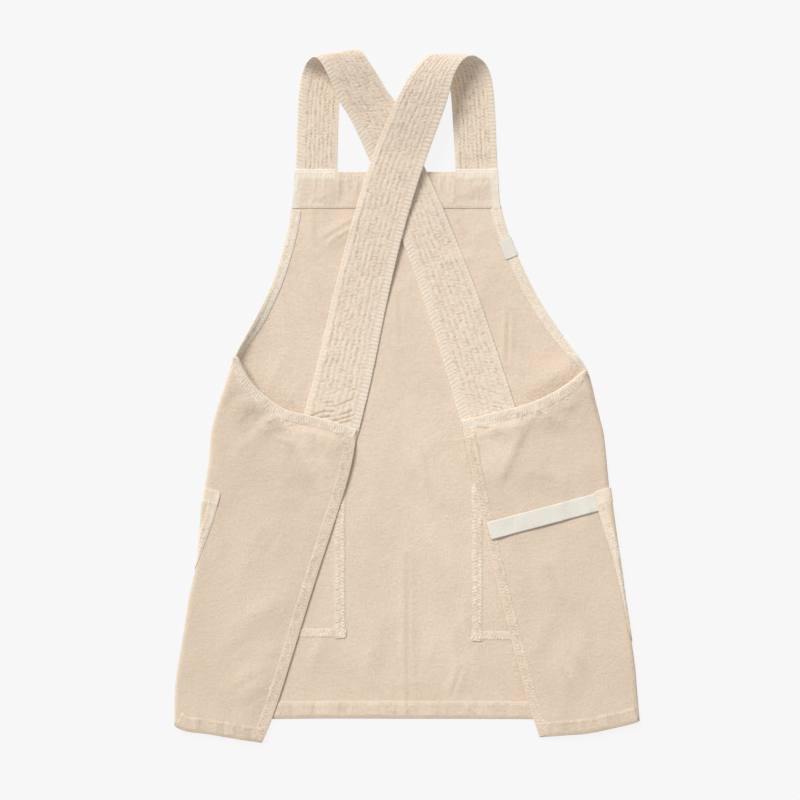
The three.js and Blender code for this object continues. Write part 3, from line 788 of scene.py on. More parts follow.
def band_texture(along, inwards):
    length = along.max()
    ends = np.minimum(along, length - along)
    top = 0.9 * bump(inwards, 1.5, 16, 4) * ripples(along, inwards, 5.4, 111, 0.02)
    upper = (1 - step(inwards, 20, 48)) * step(inwards, 2, 8)
    pleats = ridges(along / 12, inwards / 90, 117) ** 3 * upper
    sides = 0.8 * bump(ends, 1, 11, 3) * ripples(inwards, ends, 4.6, 113)
    low = 0.6 * bump(inwards, 44, 55, 3) * ripples(along, inwards, 6.4, 115)
    creased = 0.9 * ridges(along / 17 + 4, inwards / 60, 119) ** 4 * bump(inwards, 14, 54, 9)
    lumps = 0.3 * noise(along / 3, inwards / 3, 121) * bump(inwards, 1, 55, 4)
    lift = np.maximum.reduce([top, pleats, sides, low, creased]) + lumps
    x = along + armhole["left"](1)[0]
    tacks = 0
    for middle, width in STRAP_ENDS.values():
        caught = bump(x, middle - width / 2, middle + width / 2, 3)
        tacks = tacks + caught * (1 - step(inwards, 10, 15))
    corner = (1 - step(length - along, 6, 18)) * (1 - step(inwards, 8, 14))
    edges = np.exp(-np.abs(inwards - BAND_HEIGHT) / 1.2) + 0.3 * np.exp(-np.abs(inwards) / 3)
    side_pale = 0.5 * (1 - step(ends, 8, 14)) + np.exp(-ends / 2)
    sewn_part = 0.6 * (top + sides + low)
    rubbed = 0.6 * tacks + 0.5 * corner + 0.6 * edges + side_pale
    # The tone follows the puckers and lumps: rubbed paler where they rise, painted a little darker in the
    # dips as shade.
    return lift, 0.08 + sewn_part + 0.7 * (lumps - 0.15) + rubbed


def dipped(flat, inwards):
    """Lets the band's top edge sink with the bib, and its ends lean out with the armholes."""
    left, right = armhole["left"](1)[0], armhole["right"](1)[0]
    share = (flat[..., 0] - left) / (right - left)
    y = flat[..., 1] - bib_dip(flat[..., 0]) * (1 - np.clip(inwards / BAND_HEIGHT, 0, 1))
    lower = np.minimum(flat[..., 1], BIB_TOP)
    x = edge_x(armhole["left"], lower) * (1 - share) + edge_x(armhole["right"], lower) * share
    return np.stack([x, y], -1)


bib_top = edge([armhole["left"](1), armhole["right"](1)])
trims["bib_band"] = ribbon(
    "bib_band_cloth", bib_top, (0, 1), -1, band_height, profile_of(BAND_HEIGHT, 42, 0.55), 1.5,
    band_texture, dipped)

# %% [markdown]
# The pockets are sewn on the far side, under the front. Their turned edges press through it, and the two
# stitch rows pucker the front along the pocket's inner side and base: a seam without any edge of its own.

# %% Pocket seams seen through the front
def seam_profile(width, count):
    """A profile that rises from the cloth and sinks back into it."""
    inwards = np.linspace(width, 0, count)
    full = bump(inwards, 0, width, 4)
    return inwards, CANVAS / 2 - 0.35 + 0.45 * full, 0.1 + 0.2 * full


seams = {}
for number, (side, inwards) in enumerate(SIDES.items()):
    size = POCKET[side]
    corner = (size["inner"], size["base"])
    upright = edge([(size["inner"], size["mouth"] + 4), corner])
    level = edge([(fold_x(side, size["base"]) + inwards * 14, size["base"]), corner])
    for part, run, width, inside in (("side", upright, 20, -inwards), ("base", level, 17, inwards)):
        rows = ((0.3 * width, 3.6), (0.7 * width, 3.6))
        texture = sewn(
            width - 2, 1.5, 4.8, 131 + 10 * number + width, rows, 0.08, 0.0, depth=2.2, tack=0.25)
        seams[f"{side}_{part}"] = ribbon(
            f"pocket_seam_{side}_{part}", run, (0, 1), inside, front_height, seam_profile(width, width),
            1.3, texture)

# %% [markdown]
# The straps are two layers of canvas quilted together in eight rows, which makes them stiff enough to
# stand up where they roll over the shoulder. They leave the bib, roll over, cross behind and run down to
# the wraps. Washing puckers the channels between the rows, and the edges are oversewn.

# %% Quilted straps
STRAP_WALL = 1.6
UNDER_RELIEF = 0.6
# Each section of a strap: the middle's x, y and height, the turn in degrees, and the width.
STRAP_SECTIONS = {
    "left": [
        (-129.5, 305, 2.7, 0, 60), (-129.5, 336, 2.4, 0, 60), (-126.5, 425, 1.8, 1, 59.5),
        (-121.5, 460, 2.6, 2.8, 61), (-118, 472, 5.5, 4, 61.5), (-113.5, 482, 12, 5.6, 62.5),
        (-108.5, 487.7, 19.5, 7.8, 64), (-101.5, 491.8, 25.5, 9, 64), (-92.3, 485.6, 28, 9.5, 63.5),
        (-81, 467.5, 26, 10.1, 65), (-72.3, 451.8, 22.5, 11.6, 67.5), (-62.2, 432.2, 18.5, 14.6, 69.5),
        (-45.5, 407, 14, 17.6, 70),
        (-21, 353, 8.5, 20, 69), (6, 292, 5, 20, 70), (21, 256, 4.2, 20, 72), (40, 208, 2.5, 19, 74),
        (66, 138, 2.2, 18, 77), (99, 37, 2.2, 17, 80), (119, -28, 2.4, 16, 82), (126, -52, 2.5, 15, 82),
    ],
    "right": [
        (101.5, 305, 2.7, 0, 61), (101.5, 336, 2.4, 0, 61), (97, 425, 1.8, 0, 62),
        (92.5, 457.5, 2.6, 0, 63), (86, 476.5, 8, -0.5, 62.5), (76, 486, 17, -1.4, 62.5),
        (65.5, 489, 25, -1, 61.5), (52, 481, 31.5, 1.5, 61), (38.5, 462, 34.5, 0.5, 63),
        (29.5, 441.5, 33, -1, 68), (19.5, 416, 28, -5, 72), (-4, 358, 17, -13, 74),
        (-24, 301, 11, -16, 75), (-46, 225, 5.4, -15, 76), (-67, 138, 2.5, -14, 78.5),
        (-87.5, 42, 2.2, -14, 81), (-105.5, -30, 2.4, -15, 83), (-114.5, -62, 2.5, -16, 82.5),
    ],
}
CROSSING_ROOM = {"left": 0.0, "right": 1.6}
STRAP_ALONG = 620
STRAP_ACROSS = 61
QUILT_ROWS = 8
QUILT_EDGE = 0.14
WIDE_EDGE = {"left": -1, "right": 1}
STITCH_PITCH = 5.0
PUCKER_PITCH = 4.8
FOLD_PITCH = 7.5
LEG_END = (150, 200)
TICK_PITCH = 5.7
TICK_LEAN = {"left": 0.36, "right": 0.0}
SLANT = {"left": -0.9, "right": 0.9}
BASE_FOLDS = {"left": 0.6, "right": 1.2}


def strap_grid(side):
    """Middle points of a strap, its places along and across in millimetres, and its share across."""
    sections = edge(STRAP_SECTIONS[side])(np.linspace(0, 1, 3000))
    length = lengths(sections[:, :3])
    along = np.linspace(0, length[-1], STRAP_ALONG)
    line = np.stack([np.interp(along, length, sections[:, k]) for k in range(5)], -1)
    share = np.linspace(0, 1, STRAP_ACROSS)[:, None]
    turn = np.radians(line[:, 3])[None]
    reach = (share - 0.5) * line[:, 4][None]
    x = line[:, 0][None] + reach * np.cos(turn)
    y = line[:, 1][None] + reach * np.sin(turn)
    under_cloth = front_height(x, y) - CANVAS / 2
    under_cloth = under_cloth * (1 - step(y, BIB_TOP, BIB_TOP + 18))
    crossing = CROSSING_ROOM[side] * bump(line[:, 1], 120, 470, 90) * (along > 180)
    z = line[:, 2][None] + under_cloth + crossing[None]
    points = np.stack([x, y, z], -1)
    along, share = np.broadcast_arrays(along[None], share)
    return points, along, share, line[:, 4].mean()


def quilt_relief(side, along, share, width, seed):
    """Height of the quilting and its tint. Each stitch row is a groove of small dents, slanting puckers
    cross the swollen channels between the rows, the lower end lies in cross folds, and the edges are
    oversewn with cross ticks, one of them more widely. The tint paints shade into the dents, folds and
    ticks, darkest on the part behind the bib."""
    across = share * width
    wander = 0.4 * (noise(along / 11, across / 9, seed) - 0.5)
    channel = (share - QUILT_EDGE) / (1 - 2 * QUILT_EDGE) * (QUILT_ROWS - 1) + wander
    row = np.round(channel)
    from_row = channel - row
    phase = along / STITCH_PITCH + 1.4 * noise(along / 13, row * 3.1, seed + 1) + 0.41 * row
    bead = (0.5 + 0.5 * np.cos(2 * np.pi * (phase + 0.45 * from_row))) ** 1.5
    strength = 0.3 + 0.7 * step(noise(along / 7, row * 4.7, seed + 2), 0.25, 0.7)
    dashes = (0.3 + 0.5 * bead) * strength * np.exp(-(from_row / 0.18) ** 2)
    cell = np.floor(channel)
    from_middle = channel - cell - 0.5
    wave = along / PUCKER_PITCH + 1.3 * noise(along / 14, cell * 5.9, seed + 8) + 0.37 * cell
    wave = wave + SLANT[side] * from_middle
    drawn_in = 0.2 + 0.8 * step(noise(along / 7, across / 6, seed + 9), 0.3, 0.7)
    crest = (0.5 + 0.5 * np.cos(2 * np.pi * wave)) ** 2
    slants = 0.6 * drawn_in * crest * np.cos(np.pi * from_middle)
    groove = 0.25 * np.exp(-(from_row / 0.15) ** 2)
    small = noise(along / 2.4, across / 2.4, seed + 4)
    lean = 0.09 * np.sign(SLANT[side]) * across
    fold = along / FOLD_PITCH + lean + 0.9 * noise(along / 26, across / 20, seed + 5)
    from_fold = fold - np.round(fold)
    seen = step(noise(np.round(fold) * 5.3, across / 13, seed + 6), 0.4, 0.65)
    base = step(along, along.max() - 110, along.max() - 45)
    folded = BASE_FOLDS[side] * base * seen * np.exp(-(from_fold / 0.15) ** 2)
    from_wide = across if WIDE_EDGE[side] < 0 else width - across
    wide = 1 - step(from_wide, 9.5, 12.5)
    narrow = 1 - step(width - from_wide, 4.5, 6.5)
    inside = 1 - np.maximum(wide, narrow)
    oversewn = np.maximum(wide, 0.6 * narrow)
    beat = (along + TICK_LEAN[side] * across) / TICK_PITCH + 0.5 * noise(along / 16, share * 2, seed + 3)
    tick = np.cos(np.pi * beat) ** 6
    swell = np.sin(np.pi * from_row) ** 2
    puckered = np.maximum.reduce([dashes, slants, groove])
    quilted_hollow = np.maximum(puckered * (1 - 0.4 * base), folded)
    hollow = inside * quilted_hollow + 0.5 * oversewn * tick
    height = inside * (0.75 + 0.2 * swell + 0.5 * small) + 0.8 * oversewn
    tint = inside * (0.15 * (swell - 0.5) + 0.65 * (small - 0.5)) + 0.25 * oversewn
    leg = 1 - step(along, *LEG_END)
    # The tint paints shade darker into every dent, fold and tick, more on the leg.
    return np.maximum(height - 1.1 * hollow, 0), tint + 0.06 - (1.15 + 0.6 * leg) * hollow


straps = {}
for number, side in enumerate(SIDES):
    points, along, share, width = strap_grid(side)
    relief, tint = quilt_relief(side, along, share, width, 141 + 10 * number)
    tucked = 1 - step(along, 22, 46)
    held = (1 - tucked) * (1 - step(along, along.max() - 30, along.max() - 8))
    lift = relief * held
    rim = np.minimum(share, 1 - share) * width
    # The tint brings the painted shade of the dents; the rim is rubbed paler.
    wear_and_shade = np.clip(0.2 + tint + 0.5 * np.exp(-rim / 1.4), -1, 1)
    wall = STRAP_WALL * (1 - 0.55 * tucked) * (0.5 + 0.5 * step(rim, 0, 4))
    points[..., 2] -= 0.5 * tucked
    straps[side] = cloth(
        f"strap_{side}_cloth", settle(points), wall, {"wear_and_shade": wear_and_shade}, lift, UNDER_RELIEF * lift)

# %% [markdown]
# Each pocket is a patch of the same canvas under the front. It turns round the side fold together with
# the body, so its mouth and its outer edge come up on to the wrap, where they can be seen.

# %% Pockets
POCKET_ROWS = 112
POCKET_FRONT_COLUMNS = 34
POCKET_WRAP_COLUMNS = 46
POCKET_ROOM = {"left": 0.3, "right": 1.4}
MOUTH_SLANT = 0.3
SIDE_ROOM = 0.9
MOUTH_HEM = 24
STRIP_WIDTH = 15


def pocket_grid(side):
    """Middle points of a pocket, with the distance of each from its outer edge and its mouth."""
    size, inwards = POCKET[side], SIDES[side]
    rise = np.linspace(0, 1, POCKET_ROWS)[:, None]
    y = size["base"] + (size["mouth"] - size["base"]) * rise
    fold = fold_x(side, y)
    corners = np.array(size["outer"], float)
    slope = (corners[1] - corners[0])[0] / (corners[1] - corners[0])[1]
    outer = np.interp(y, corners[:, 1], corners[:, 0]) + slope * np.minimum(y - corners[0, 1], 0)
    wrap_face = wrap_height(side, fold + inwards * FOLD_RADIUS, y) + CANVAS / 2
    ease = 0.35 + 0.65 * step(inwards * (outer - fold), 0, 12)
    high = wrap_face + POCKET_ROOM[side] * ease + CANVAS / 2
    radius = (high - CANVAS / 2) / 2
    start = fold + inwards * (radius - CANVAS - SIDE_ROOM * ease)
    turn = np.pi * radius
    shown = step(inwards * (outer - fold), -1.2, 1.2)
    reach = np.maximum(shown * (turn + inwards * (outer - start)) + (1 - shown) * 0.14 * turn, 1)
    back = np.abs(start - size["inner"])
    flat_part = -back * (1 - np.linspace(0, 1, POCKET_FRONT_COLUMNS))[None]
    turned_part = reach * np.linspace(0, 1, POCKET_WRAP_COLUMNS)[None, 1:]
    place = np.concatenate([flat_part, turned_part], 1)
    angle = np.clip(place, 0, turn) / radius
    past = np.maximum(place - turn, 0)
    x = start - inwards * np.minimum(place, 0) + inwards * (past - radius * np.sin(angle))
    y = y - MOUTH_SLANT * past * rise ** 2
    sink = np.where(past > 0, wrap_height(side, x, y) + CANVAS / 2 - wrap_face, 0)
    z = CANVAS / 2 + radius * (1 - np.cos(angle)) + sink
    return np.stack([x, y, z], -1), reach - place, (size["mouth"] - size["base"]) * (1 - rise) + 0 * x


pockets = {}
for number, side in enumerate(SIDES):
    points, from_edge, from_mouth = pocket_grid(side)
    side_texture = sewn(STRIP_WIDTH, 1.1, 4.8, 171 + number, ((4, 3), (11, 3)), 0.3, 0.6, depth=2.4)
    lift, wear_and_shade = side_texture(from_mouth, from_edge)
    strip = 1 - step(from_edge, STRIP_WIDTH - 2, STRIP_WIDTH + 1)
    hem_lift, hem_wear_and_shade = turned(MOUTH_HEM, 181 + number, 0.5, 0.2)(from_edge, from_mouth)
    hem = 1 - step(from_mouth, MOUTH_HEM - 1, MOUTH_HEM + 1)
    seen = step(points[..., 2], 2.5, 5)
    relief = seen * (hem * hem_lift + (1 - hem) * strip * lift)
    wear_and_shade = np.clip(hem * hem_wear_and_shade + (1 - hem) * (strip * wear_and_shade - (1 - strip) * 0.15), -1, 1)
    thin = 0.35 + (CANVAS - 0.35) * step(from_edge, 0, 14)
    points[..., 2] -= seen * (CANVAS - thin) / 2
    if normals_of(points)[5, 5, 2] > 0:
        points, relief, wear_and_shade, thin = points[:, ::-1], relief[:, ::-1], wear_and_shade[:, ::-1], thin[:, ::-1]
    pockets[side] = cloth(f"pocket_{side}_cloth", settle(points), thin, {"wear_and_shade": wear_and_shade}, relief)

# %% [markdown]
# A grey woven tape lies across the right wrap, from under the pocket's edge to the wrap's hem, as a loop
# for a cloth. A short piece of the same tape is folded round the armhole edge as a bare tab.

# %% Tape loop and edge tab
TAPE_WALL = 0.8
TAPE_FROM = np.array([285.0, -152.0])
TAPE_TO = np.array([120.0, -196.0])
TAPE_WIDTH = 26
TAPE_SLACK = 1.4
TAB_WALL = 0.5
TAB_LENGTH = 29
TAB_LEAF = 17


def tape_grid():
    run = TAPE_TO - TAPE_FROM
    side = np.array([-run[1], run[0]]) / np.linalg.norm(run)
    share, across = np.meshgrid(np.linspace(0, 1, 110), np.linspace(-0.5, 0.5, 15))
    flat = TAPE_FROM + run * share[..., None] + side * (across * TAPE_WIDTH)[..., None]
    x, y = flat[..., 0], flat[..., 1]
    from_hem, _ = nearest(wrap_inner["right"], x, y)
    over_hem = 1.9 * (1 - step(from_hem, 12, 60))
    slack = TAPE_SLACK * np.sin(np.pi * np.clip(share * 1.05, 0, 1)) ** 2
    sway = 0.3 * np.sin(7 * share + 2 * across) ** 2
    rise = CANVAS / 2 + 0.3 + TAPE_WALL / 2 + np.hypot(slack, over_hem) + sway
    middle = np.broadcast_to(wrap_height("right", x, y).mean(0), x.shape)
    level = np.maximum(wrap_height("right", x, y), middle - 0.5)
    return with_height(flat, level + rise), np.minimum(across + 0.5, 0.5 - across) * TAPE_WIDTH


def tab_grid():
    """The tab's section runs from the leaf under the front, round the armhole edge, to the upper leaf."""
    run = armhole["right"]
    tangent = run(TAB_ALONG + 0.01) - run(TAB_ALONG - 0.01)
    tangent = tangent / np.linalg.norm(tangent)
    inside = np.array([-tangent[1], tangent[0]])
    low, high = -CANVAS / 2 - 0.2 - TAB_WALL / 2, CANVAS / 2 + 1.1 + TAB_WALL / 2
    turn = np.linspace(0, np.pi, 9)[1:-1]
    leaf = np.linspace(TAB_LEAF, 0, 14)
    radius = (high - low) / 2
    reach = np.concatenate([leaf, -1.2 - radius * np.sin(turn), leaf[::-1]])
    level = np.concatenate([leaf * 0 + low, low + radius * (1 - np.cos(turn)), leaf * 0 + high])
    along = np.linspace(-0.5, 0.5, 24) * TAB_LENGTH
    rounded = np.clip((np.abs(along) - TAB_LENGTH / 2 + 4) / 4, 0, 1)
    trim = 1 - 0.16 * (1 - np.sqrt(1 - rounded ** 2))
    reach2 = np.where(reach[:, None] > 0, reach[:, None] * trim[None], reach[:, None])
    flat = TAB_MIDDLE + inside * reach2[..., None] + tangent * along[None, :, None]
    z = front_height(flat[..., 0], flat[..., 1]).mean(1, keepdims=True) + level[:, None]
    points = with_height(flat, np.broadcast_to(z, reach2.shape))
    return points, TAB_LENGTH / 2 - np.abs(np.broadcast_to(along[None], reach2.shape))


points, from_edge = tape_grid()
if normals_of(points)[7, 50, 2] < 0:
    points, from_edge = points[::-1], from_edge[::-1]
tape = cloth("tape_loop_cloth", settle(points), TAPE_WALL, {"wear_and_shade": 0.3 * np.exp(-from_edge / 1.6)})
points, from_edge = tab_grid()
if normals_of(points)[-4, 10, 2] < 0:
    points, from_edge = points[:, ::-1], from_edge[:, ::-1]
tab = cloth("edge_tab_cloth", settle(points), TAB_WALL, {"wear_and_shade": 0.3 * np.exp(-from_edge / 1.6)})

# %% [markdown]
# Washed canvas is matt, with a plain weave, a soft mottle from the dye, and a paler cream where the cloth
# stands proud at seams. Every finish below is made of noise and sums in the shader, read from the piece's
# own place. Two values stored on the points steer it. The first says where the cloth has been rubbed
# lighter, or, below nought, where shade is painted darker into hollows, dips and creases. The second,
# named drawn, says where a seam draws the cloth together, so that it crumples more.

# %% A socket that does sums
class Shade:
    """One output of a shader tree. Sums with it add the nodes that carry them out."""

    def __init__(self, tree, socket=None):
        self.tree = tree
        self.socket = socket

    def node(self, kind, settings, sockets, output=0):
        """Adds a node: its type, then its settings, then the values or links of its sockets."""
        made = self.tree.nodes.new(kind)
        for key, value in settings.items():
            setattr(made, key, value)
        for key, value in sockets.items():
            if isinstance(value, Shade):
                self.tree.links.new(value.socket, made.inputs[key])
            else:
                made.inputs[key].default_value = value
        return Shade(self.tree, made.outputs[output] if made.outputs else None)

    def math(self, operation, first, second=0.0):
        return self.node("ShaderNodeMath", {"operation": operation}, {0: first, 1: second})

    def __add__(self, other):
        return self.math("ADD", self, other)

    def __radd__(self, other):
        return self.math("ADD", other, self)

    def __sub__(self, other):
        return self.math("SUBTRACT", self, other)

    def __rsub__(self, other):
        return self.math("SUBTRACT", other, self)

    def __mul__(self, other):
        return self.math("MULTIPLY", self, other)

    def __rmul__(self, other):
        return self.math("MULTIPLY", other, self)

    def clamped(self, low, high):
        return self.node("ShaderNodeClamp", {}, {"Value": self, "Min": low, "Max": high})

    def mix(self, first, second):
        """A colour between two colours, with this value as the share of the second."""
        return self.node("ShaderNodeMix", {"data_type": "RGBA"}, {0: self, 6: first, 7: second}, 2)

    def speckle(self, scale, detail=3.0, stretch=(1, 1, 1)):
        """Noise read from this vector, about 0.5 on the whole."""
        place = self.node("ShaderNodeMapping", {}, {"Vector": self, "Scale": stretch})
        sockets = {"Vector": place, "Scale": scale, "Detail": detail}
        return self.node("ShaderNodeTexNoise", {}, sockets, "Fac")


# %% Cloth finishes
def colour(red, green, blue):
    return (red, green, blue, 1.0)


def woven(shade, place, pitch):
    """Height of a plain weave: two crossing sets of threads."""
    split = shade.node("ShaderNodeSeparateXYZ", {}, {"Vector": place})
    turn = 2 * math.pi / pitch
    across = Shade(shade.tree, split.socket.node.outputs[0])
    along = Shade(shade.tree, split.socket.node.outputs[1])
    return shade.math("SINE", across * turn) * shade.math("SINE", along * turn)


# Share of the dye colour that is left where shade is painted into hollows, dips and creases.
PAINTED_SHADE_SHARE = (0.63, 0.615, 0.575)


def cloth_finish(name, dark, light, rubbed, pitch, weave_depth, crumple_depth, on_uv, rough=0.92):
    """A woven finish between two dye shades, rubbed paler at the seams and painted darker as shade in
    hollows and creases.
    """
    material = bpy.data.materials.new(name)
    material.use_nodes = True
    tree = material.node_tree
    tree.nodes.clear()
    shade = Shade(tree)
    place = shade.node("ShaderNodeTexCoord", {}, {}, "Object")
    threads = shade.node("ShaderNodeUVMap", {"uv_map": "cloth"}, {}) if on_uv else place
    mottle = place.speckle(11.0) * 0.4 + place.speckle(46.0) * 0.15 + place.speckle(260.0, 2.0) * 0.5
    dyed = ((mottle - 0.4) * 3.2).clamped(0.0, 1.0).mix(colour(*dark), colour(*light))
    wear_and_shade = shade.node("ShaderNodeAttribute", {"attribute_name": "wear_and_shade"}, {}, "Fac")
    grain = place.speckle(420.0, 2.0)
    rub = (wear_and_shade * (0.7 + grain * 0.6)).clamped(0.0, 1.0)
    # Below nought the stored value paints shade: the dye is darkened towards that share.
    painted_shade = (wear_and_shade * -1.0).clamped(0.0, 1.0)
    hollow = painted_shade.mix(dyed, colour(*(part * share for part, share in zip(dark, PAINTED_SHADE_SHARE))))
    tint = rub.mix(hollow, colour(*rubbed))
    cross = threads.speckle(900.0, 1.0, (1, 0.12, 1)) + threads.speckle(900.0, 1.0, (0.12, 1, 1))
    weave = woven(shade, threads, pitch) * weave_depth + (cross - 1.0) * weave_depth * 1.5
    drawn = shade.node("ShaderNodeAttribute", {"attribute_name": "drawn"}, {}, "Fac")
    slubs = threads.speckle(190.0, 3.0, (0.45, 1, 1)) + threads.speckle(190.0, 3.0, (1, 0.45, 1))
    crumpled = (slubs + place.speckle(330.0, 2.0)) * crumple_depth * (1.0 + drawn)
    relief = {"Strength": 1.0, "Distance": 0.001, "Height": weave + crumpled}
    normal = shade.node("ShaderNodeBump", {}, relief)
    surface = shade.node("ShaderNodeBsdfPrincipled", {}, {
        "Base Color": tint,
        "Roughness": (rough - 0.06 + grain * 0.12).clamped(0.0, 1.0),
        "Normal": normal,
        "Specular IOR Level": 0.2,
        "Sheen Weight": 0.08,
        "Sheen Roughness": 0.5,
    })
    shade.node("ShaderNodeOutputMaterial", {}, {"Surface": surface})
    return material


CREAM = (0.955, 0.86, 0.72)
TAPE_EDGE = (0.92, 0.88, 0.79)
WEAVE = 0.0011
canvas = cloth_finish(
    "washed_canvas", (0.806, 0.649, 0.499), (0.886, 0.739, 0.586), CREAM, WEAVE, 0.10, 0.42, False)
seam_canvas = cloth_finish(
    "seam_canvas", (0.81, 0.655, 0.505), (0.87, 0.725, 0.57), CREAM, WEAVE, 0.10, 0.3, True)
quilted = cloth_finish(
    "quilted_canvas", (0.84, 0.685, 0.535), (0.905, 0.76, 0.605), CREAM, WEAVE, 0.10, 0.3, True)
grey_tape = cloth_finish(
    "grey_tape", (0.85, 0.81, 0.71), (0.885, 0.85, 0.755), TAPE_EDGE, 0.0016, 0.16, 0.1, True)
thread = cloth_finish(
    "sewing_thread", (0.84, 0.71, 0.56), (0.91, 0.79, 0.64), CREAM, 0.0006, 0.05, 0.0, False)
print("finishes:", [m.name for m in (canvas, seam_canvas, quilted, grey_tape, thread)])

# %% [markdown]
# Stitches repeat along a path, so Geometry Nodes set them: the rows come in as plain lines, are cut into
# even steps, and each step gets one short fat thread turned along the row, with a little unevenness.

# %% Stitch rows
def stitch_tree():
    tree = bpy.data.node_groups.new("stitch_rows", "GeometryNodeTree")
    add = tree.interface.new_socket
    add("Geometry", in_out="INPUT", socket_type="NodeSocketGeometry")
    sizes = {"Pitch": 0.0032, "Length": 0.0022, "Thickness": 0.00055}
    sockets = {}
    for label, value in sizes.items():
        sockets[label] = add(label, in_out="INPUT", socket_type="NodeSocketFloat")
        sockets[label].default_value = value
    sockets["Seed"] = add("Seed", in_out="INPUT", socket_type="NodeSocketInt")
    sockets["Thread"] = add("Thread", in_out="INPUT", socket_type="NodeSocketMaterial")
    add("Geometry", in_out="OUTPUT", socket_type="NodeSocketGeometry")
    new = tree.nodes.new
    given, made = new("NodeGroupInput"), new("NodeGroupOutput")
    rows = new("GeometryNodeMeshToCurve")
    steps = new("GeometryNodeResampleCurve")
    steps.mode = "LENGTH"
    ball = new("GeometryNodeMeshIcoSphere")
    ball.inputs["Radius"].default_value = 0.5
    ball.inputs["Subdivisions"].default_value = 1
    size = new("ShaderNodeCombineXYZ")
    tangent = new("GeometryNodeInputTangent")
    turn = new("FunctionNodeAlignRotationToVector")
    turn.axis = "X"
    uneven = new("FunctionNodeRandomValue")
    uneven.data_type = "FLOAT_VECTOR"
    uneven.inputs["Min"].default_value = (0.8, 0.85, 0.8)
    uneven.inputs["Max"].default_value = (1.1, 1.15, 1.1)
    scale = new("ShaderNodeVectorMath")
    scale.operation = "MULTIPLY"
    place = new("GeometryNodeInstanceOnPoints")
    real = new("GeometryNodeRealizeInstances")
    finish = new("GeometryNodeSetMaterial")
    for source, output, target, socket in (
            (given, "Geometry", rows, "Mesh"), (rows, "Curve", steps, "Curve"),
            (given, "Pitch", steps, "Length"), (given, "Length", size, "X"),
            (given, "Thickness", size, "Y"), (given, "Thickness", size, "Z"),
            (tangent, "Tangent", turn, "Vector"), (given, "Seed", uneven, "Seed"),
            (size, "Vector", scale, 0), (uneven, "Value", scale, 1),
            (steps, "Curve", place, "Points"), (ball, "Mesh", place, "Instance"),
            (turn, "Rotation", place, "Rotation"), (scale, "Vector", place, "Scale"),
            (place, "Instances", real, "Geometry"), (real, "Geometry", finish, "Geometry"),
            (given, "Thread", finish, "Material"), (finish, "Geometry", made, "Geometry")):
        tree.links.new(source.outputs[output], target.inputs[socket])
    return tree, {label: socket.identifier for label, socket in sockets.items()}


STITCH_TREE, STITCH_INPUTS = stitch_tree()


def sew(name, rows, values):
    """One piece with all the stitches of the given rows of points in millimetres."""
    verts = np.concatenate(rows) * MM
    edges, start = [], 0
    for row in rows:
        edges += [(start + i, start + i + 1) for i in range(len(row) - 1)]
        start += len(row)
    mesh = bpy.data.meshes.new(name + "_rows")
    mesh.from_pydata(verts.tolist(), edges, [])
    source = bpy.data.objects.new(name + "_rows", mesh)
    bpy.context.scene.collection.objects.link(source)
    maker = source.modifiers.new("stitches", "NODES")
    maker.node_group = STITCH_TREE
    for label, value in values.items():
        maker[STITCH_INPUTS[label]] = value
    ready = source.evaluated_get(bpy.context.evaluated_depsgraph_get())
    stitch_mesh = bpy.data.meshes.new_from_object(ready)
    source.modifiers.remove(maker)
    bpy.data.objects.remove(source)
    stitches = bpy.data.objects.new(name, stitch_mesh)
    bpy.context.scene.collection.objects.link(stitches)
    stitch_mesh.polygons.foreach_set("use_smooth", np.ones(len(stitch_mesh.polygons), bool))
    print(f"{name}: {len(stitch_mesh.polygons)} triangles in {len(rows)} rows")
    return stitches


# %% Sew the trims and the straps
TRIM_ROWS = (
    ("hem_front_cloth", (2, 16)),
    ("hem_{}_cloth", (2, 14)),
    ("back_hem_{}_cloth", (4, 11)),
    ("binding_{}_cloth", (4, 11)),
    ("facing_{}_cloth", (1, 9)),
    ("bib_band_cloth", (2, 25, 37)),
    ("pocket_seam_{}_side", (3, 10)),
    ("pocket_seam_{}_base", (3, 8)),
)
RAISED = np.array([0, 0, 0.08])
SEWN_SPAN = slice(36, -20)
trim_rows = []
for pattern, rows in TRIM_ROWS:
    for name in dict.fromkeys(pattern.format(side) for side in SIDES):
        trim_rows += [outer_face[name][row] + RAISED for row in rows]
quilt_shares = QUILT_EDGE + (1 - 2 * QUILT_EDGE) * np.arange(QUILT_ROWS) / (QUILT_ROWS - 1)
strap_rows = []
for side in SIDES:
    face = outer_face[f"strap_{side}_cloth"]
    for share in quilt_shares:
        strap_rows.append(face[int(round(share * (STRAP_ACROSS - 1))), SEWN_SPAN])
trim_stitches = sew("trim_stitches", trim_rows, {
    "Pitch": 0.0034, "Length": 0.0024, "Thickness": 0.0006, "Seed": 3, "Thread": thread})
strap_stitches = sew("strap_stitches", strap_rows, {
    "Pitch": 0.0036, "Length": 0.0024, "Thickness": 0.0006, "Seed": 5, "Thread": thread})

# %% [markdown]
# The stage is a plain pale floor, lit a little from within like a light table so that shadows stay faint,
# under a soft light from the upper left, with light from all round to fill the folds. The camera looks
# straight down from three metres up, as the photograph was taken.

# %% Stage, light and camera
scene = bpy.context.scene
floor_mesh = bpy.data.meshes.new("floor")
FLOOR_REACH = 40
FLOOR_LEVEL = -0.0004
floor_corners = [
    (x * FLOOR_REACH, y * FLOOR_REACH, FLOOR_LEVEL) for x, y in ((-1, -1), (1, -1), (1, 1), (-1, 1))]
floor_mesh.from_pydata(floor_corners, [], [(0, 1, 2, 3)])
floor = bpy.data.objects.new("floor", floor_mesh)
scene.collection.objects.link(floor)
floor_finish = bpy.data.materials.new("floor_paper")
floor_finish.use_nodes = True
paper = floor_finish.node_tree.nodes["Principled BSDF"]
paper.inputs["Base Color"].default_value = (0.06, 0.06, 0.06, 1)
paper.inputs["Roughness"].default_value = 1.0
paper.inputs["Specular IOR Level"].default_value = 0.0
paper.inputs["Emission Color"].default_value = (1, 1, 1, 1)
paper.inputs["Emission Strength"].default_value = 0.87
floor_mesh.materials.append(floor_finish)

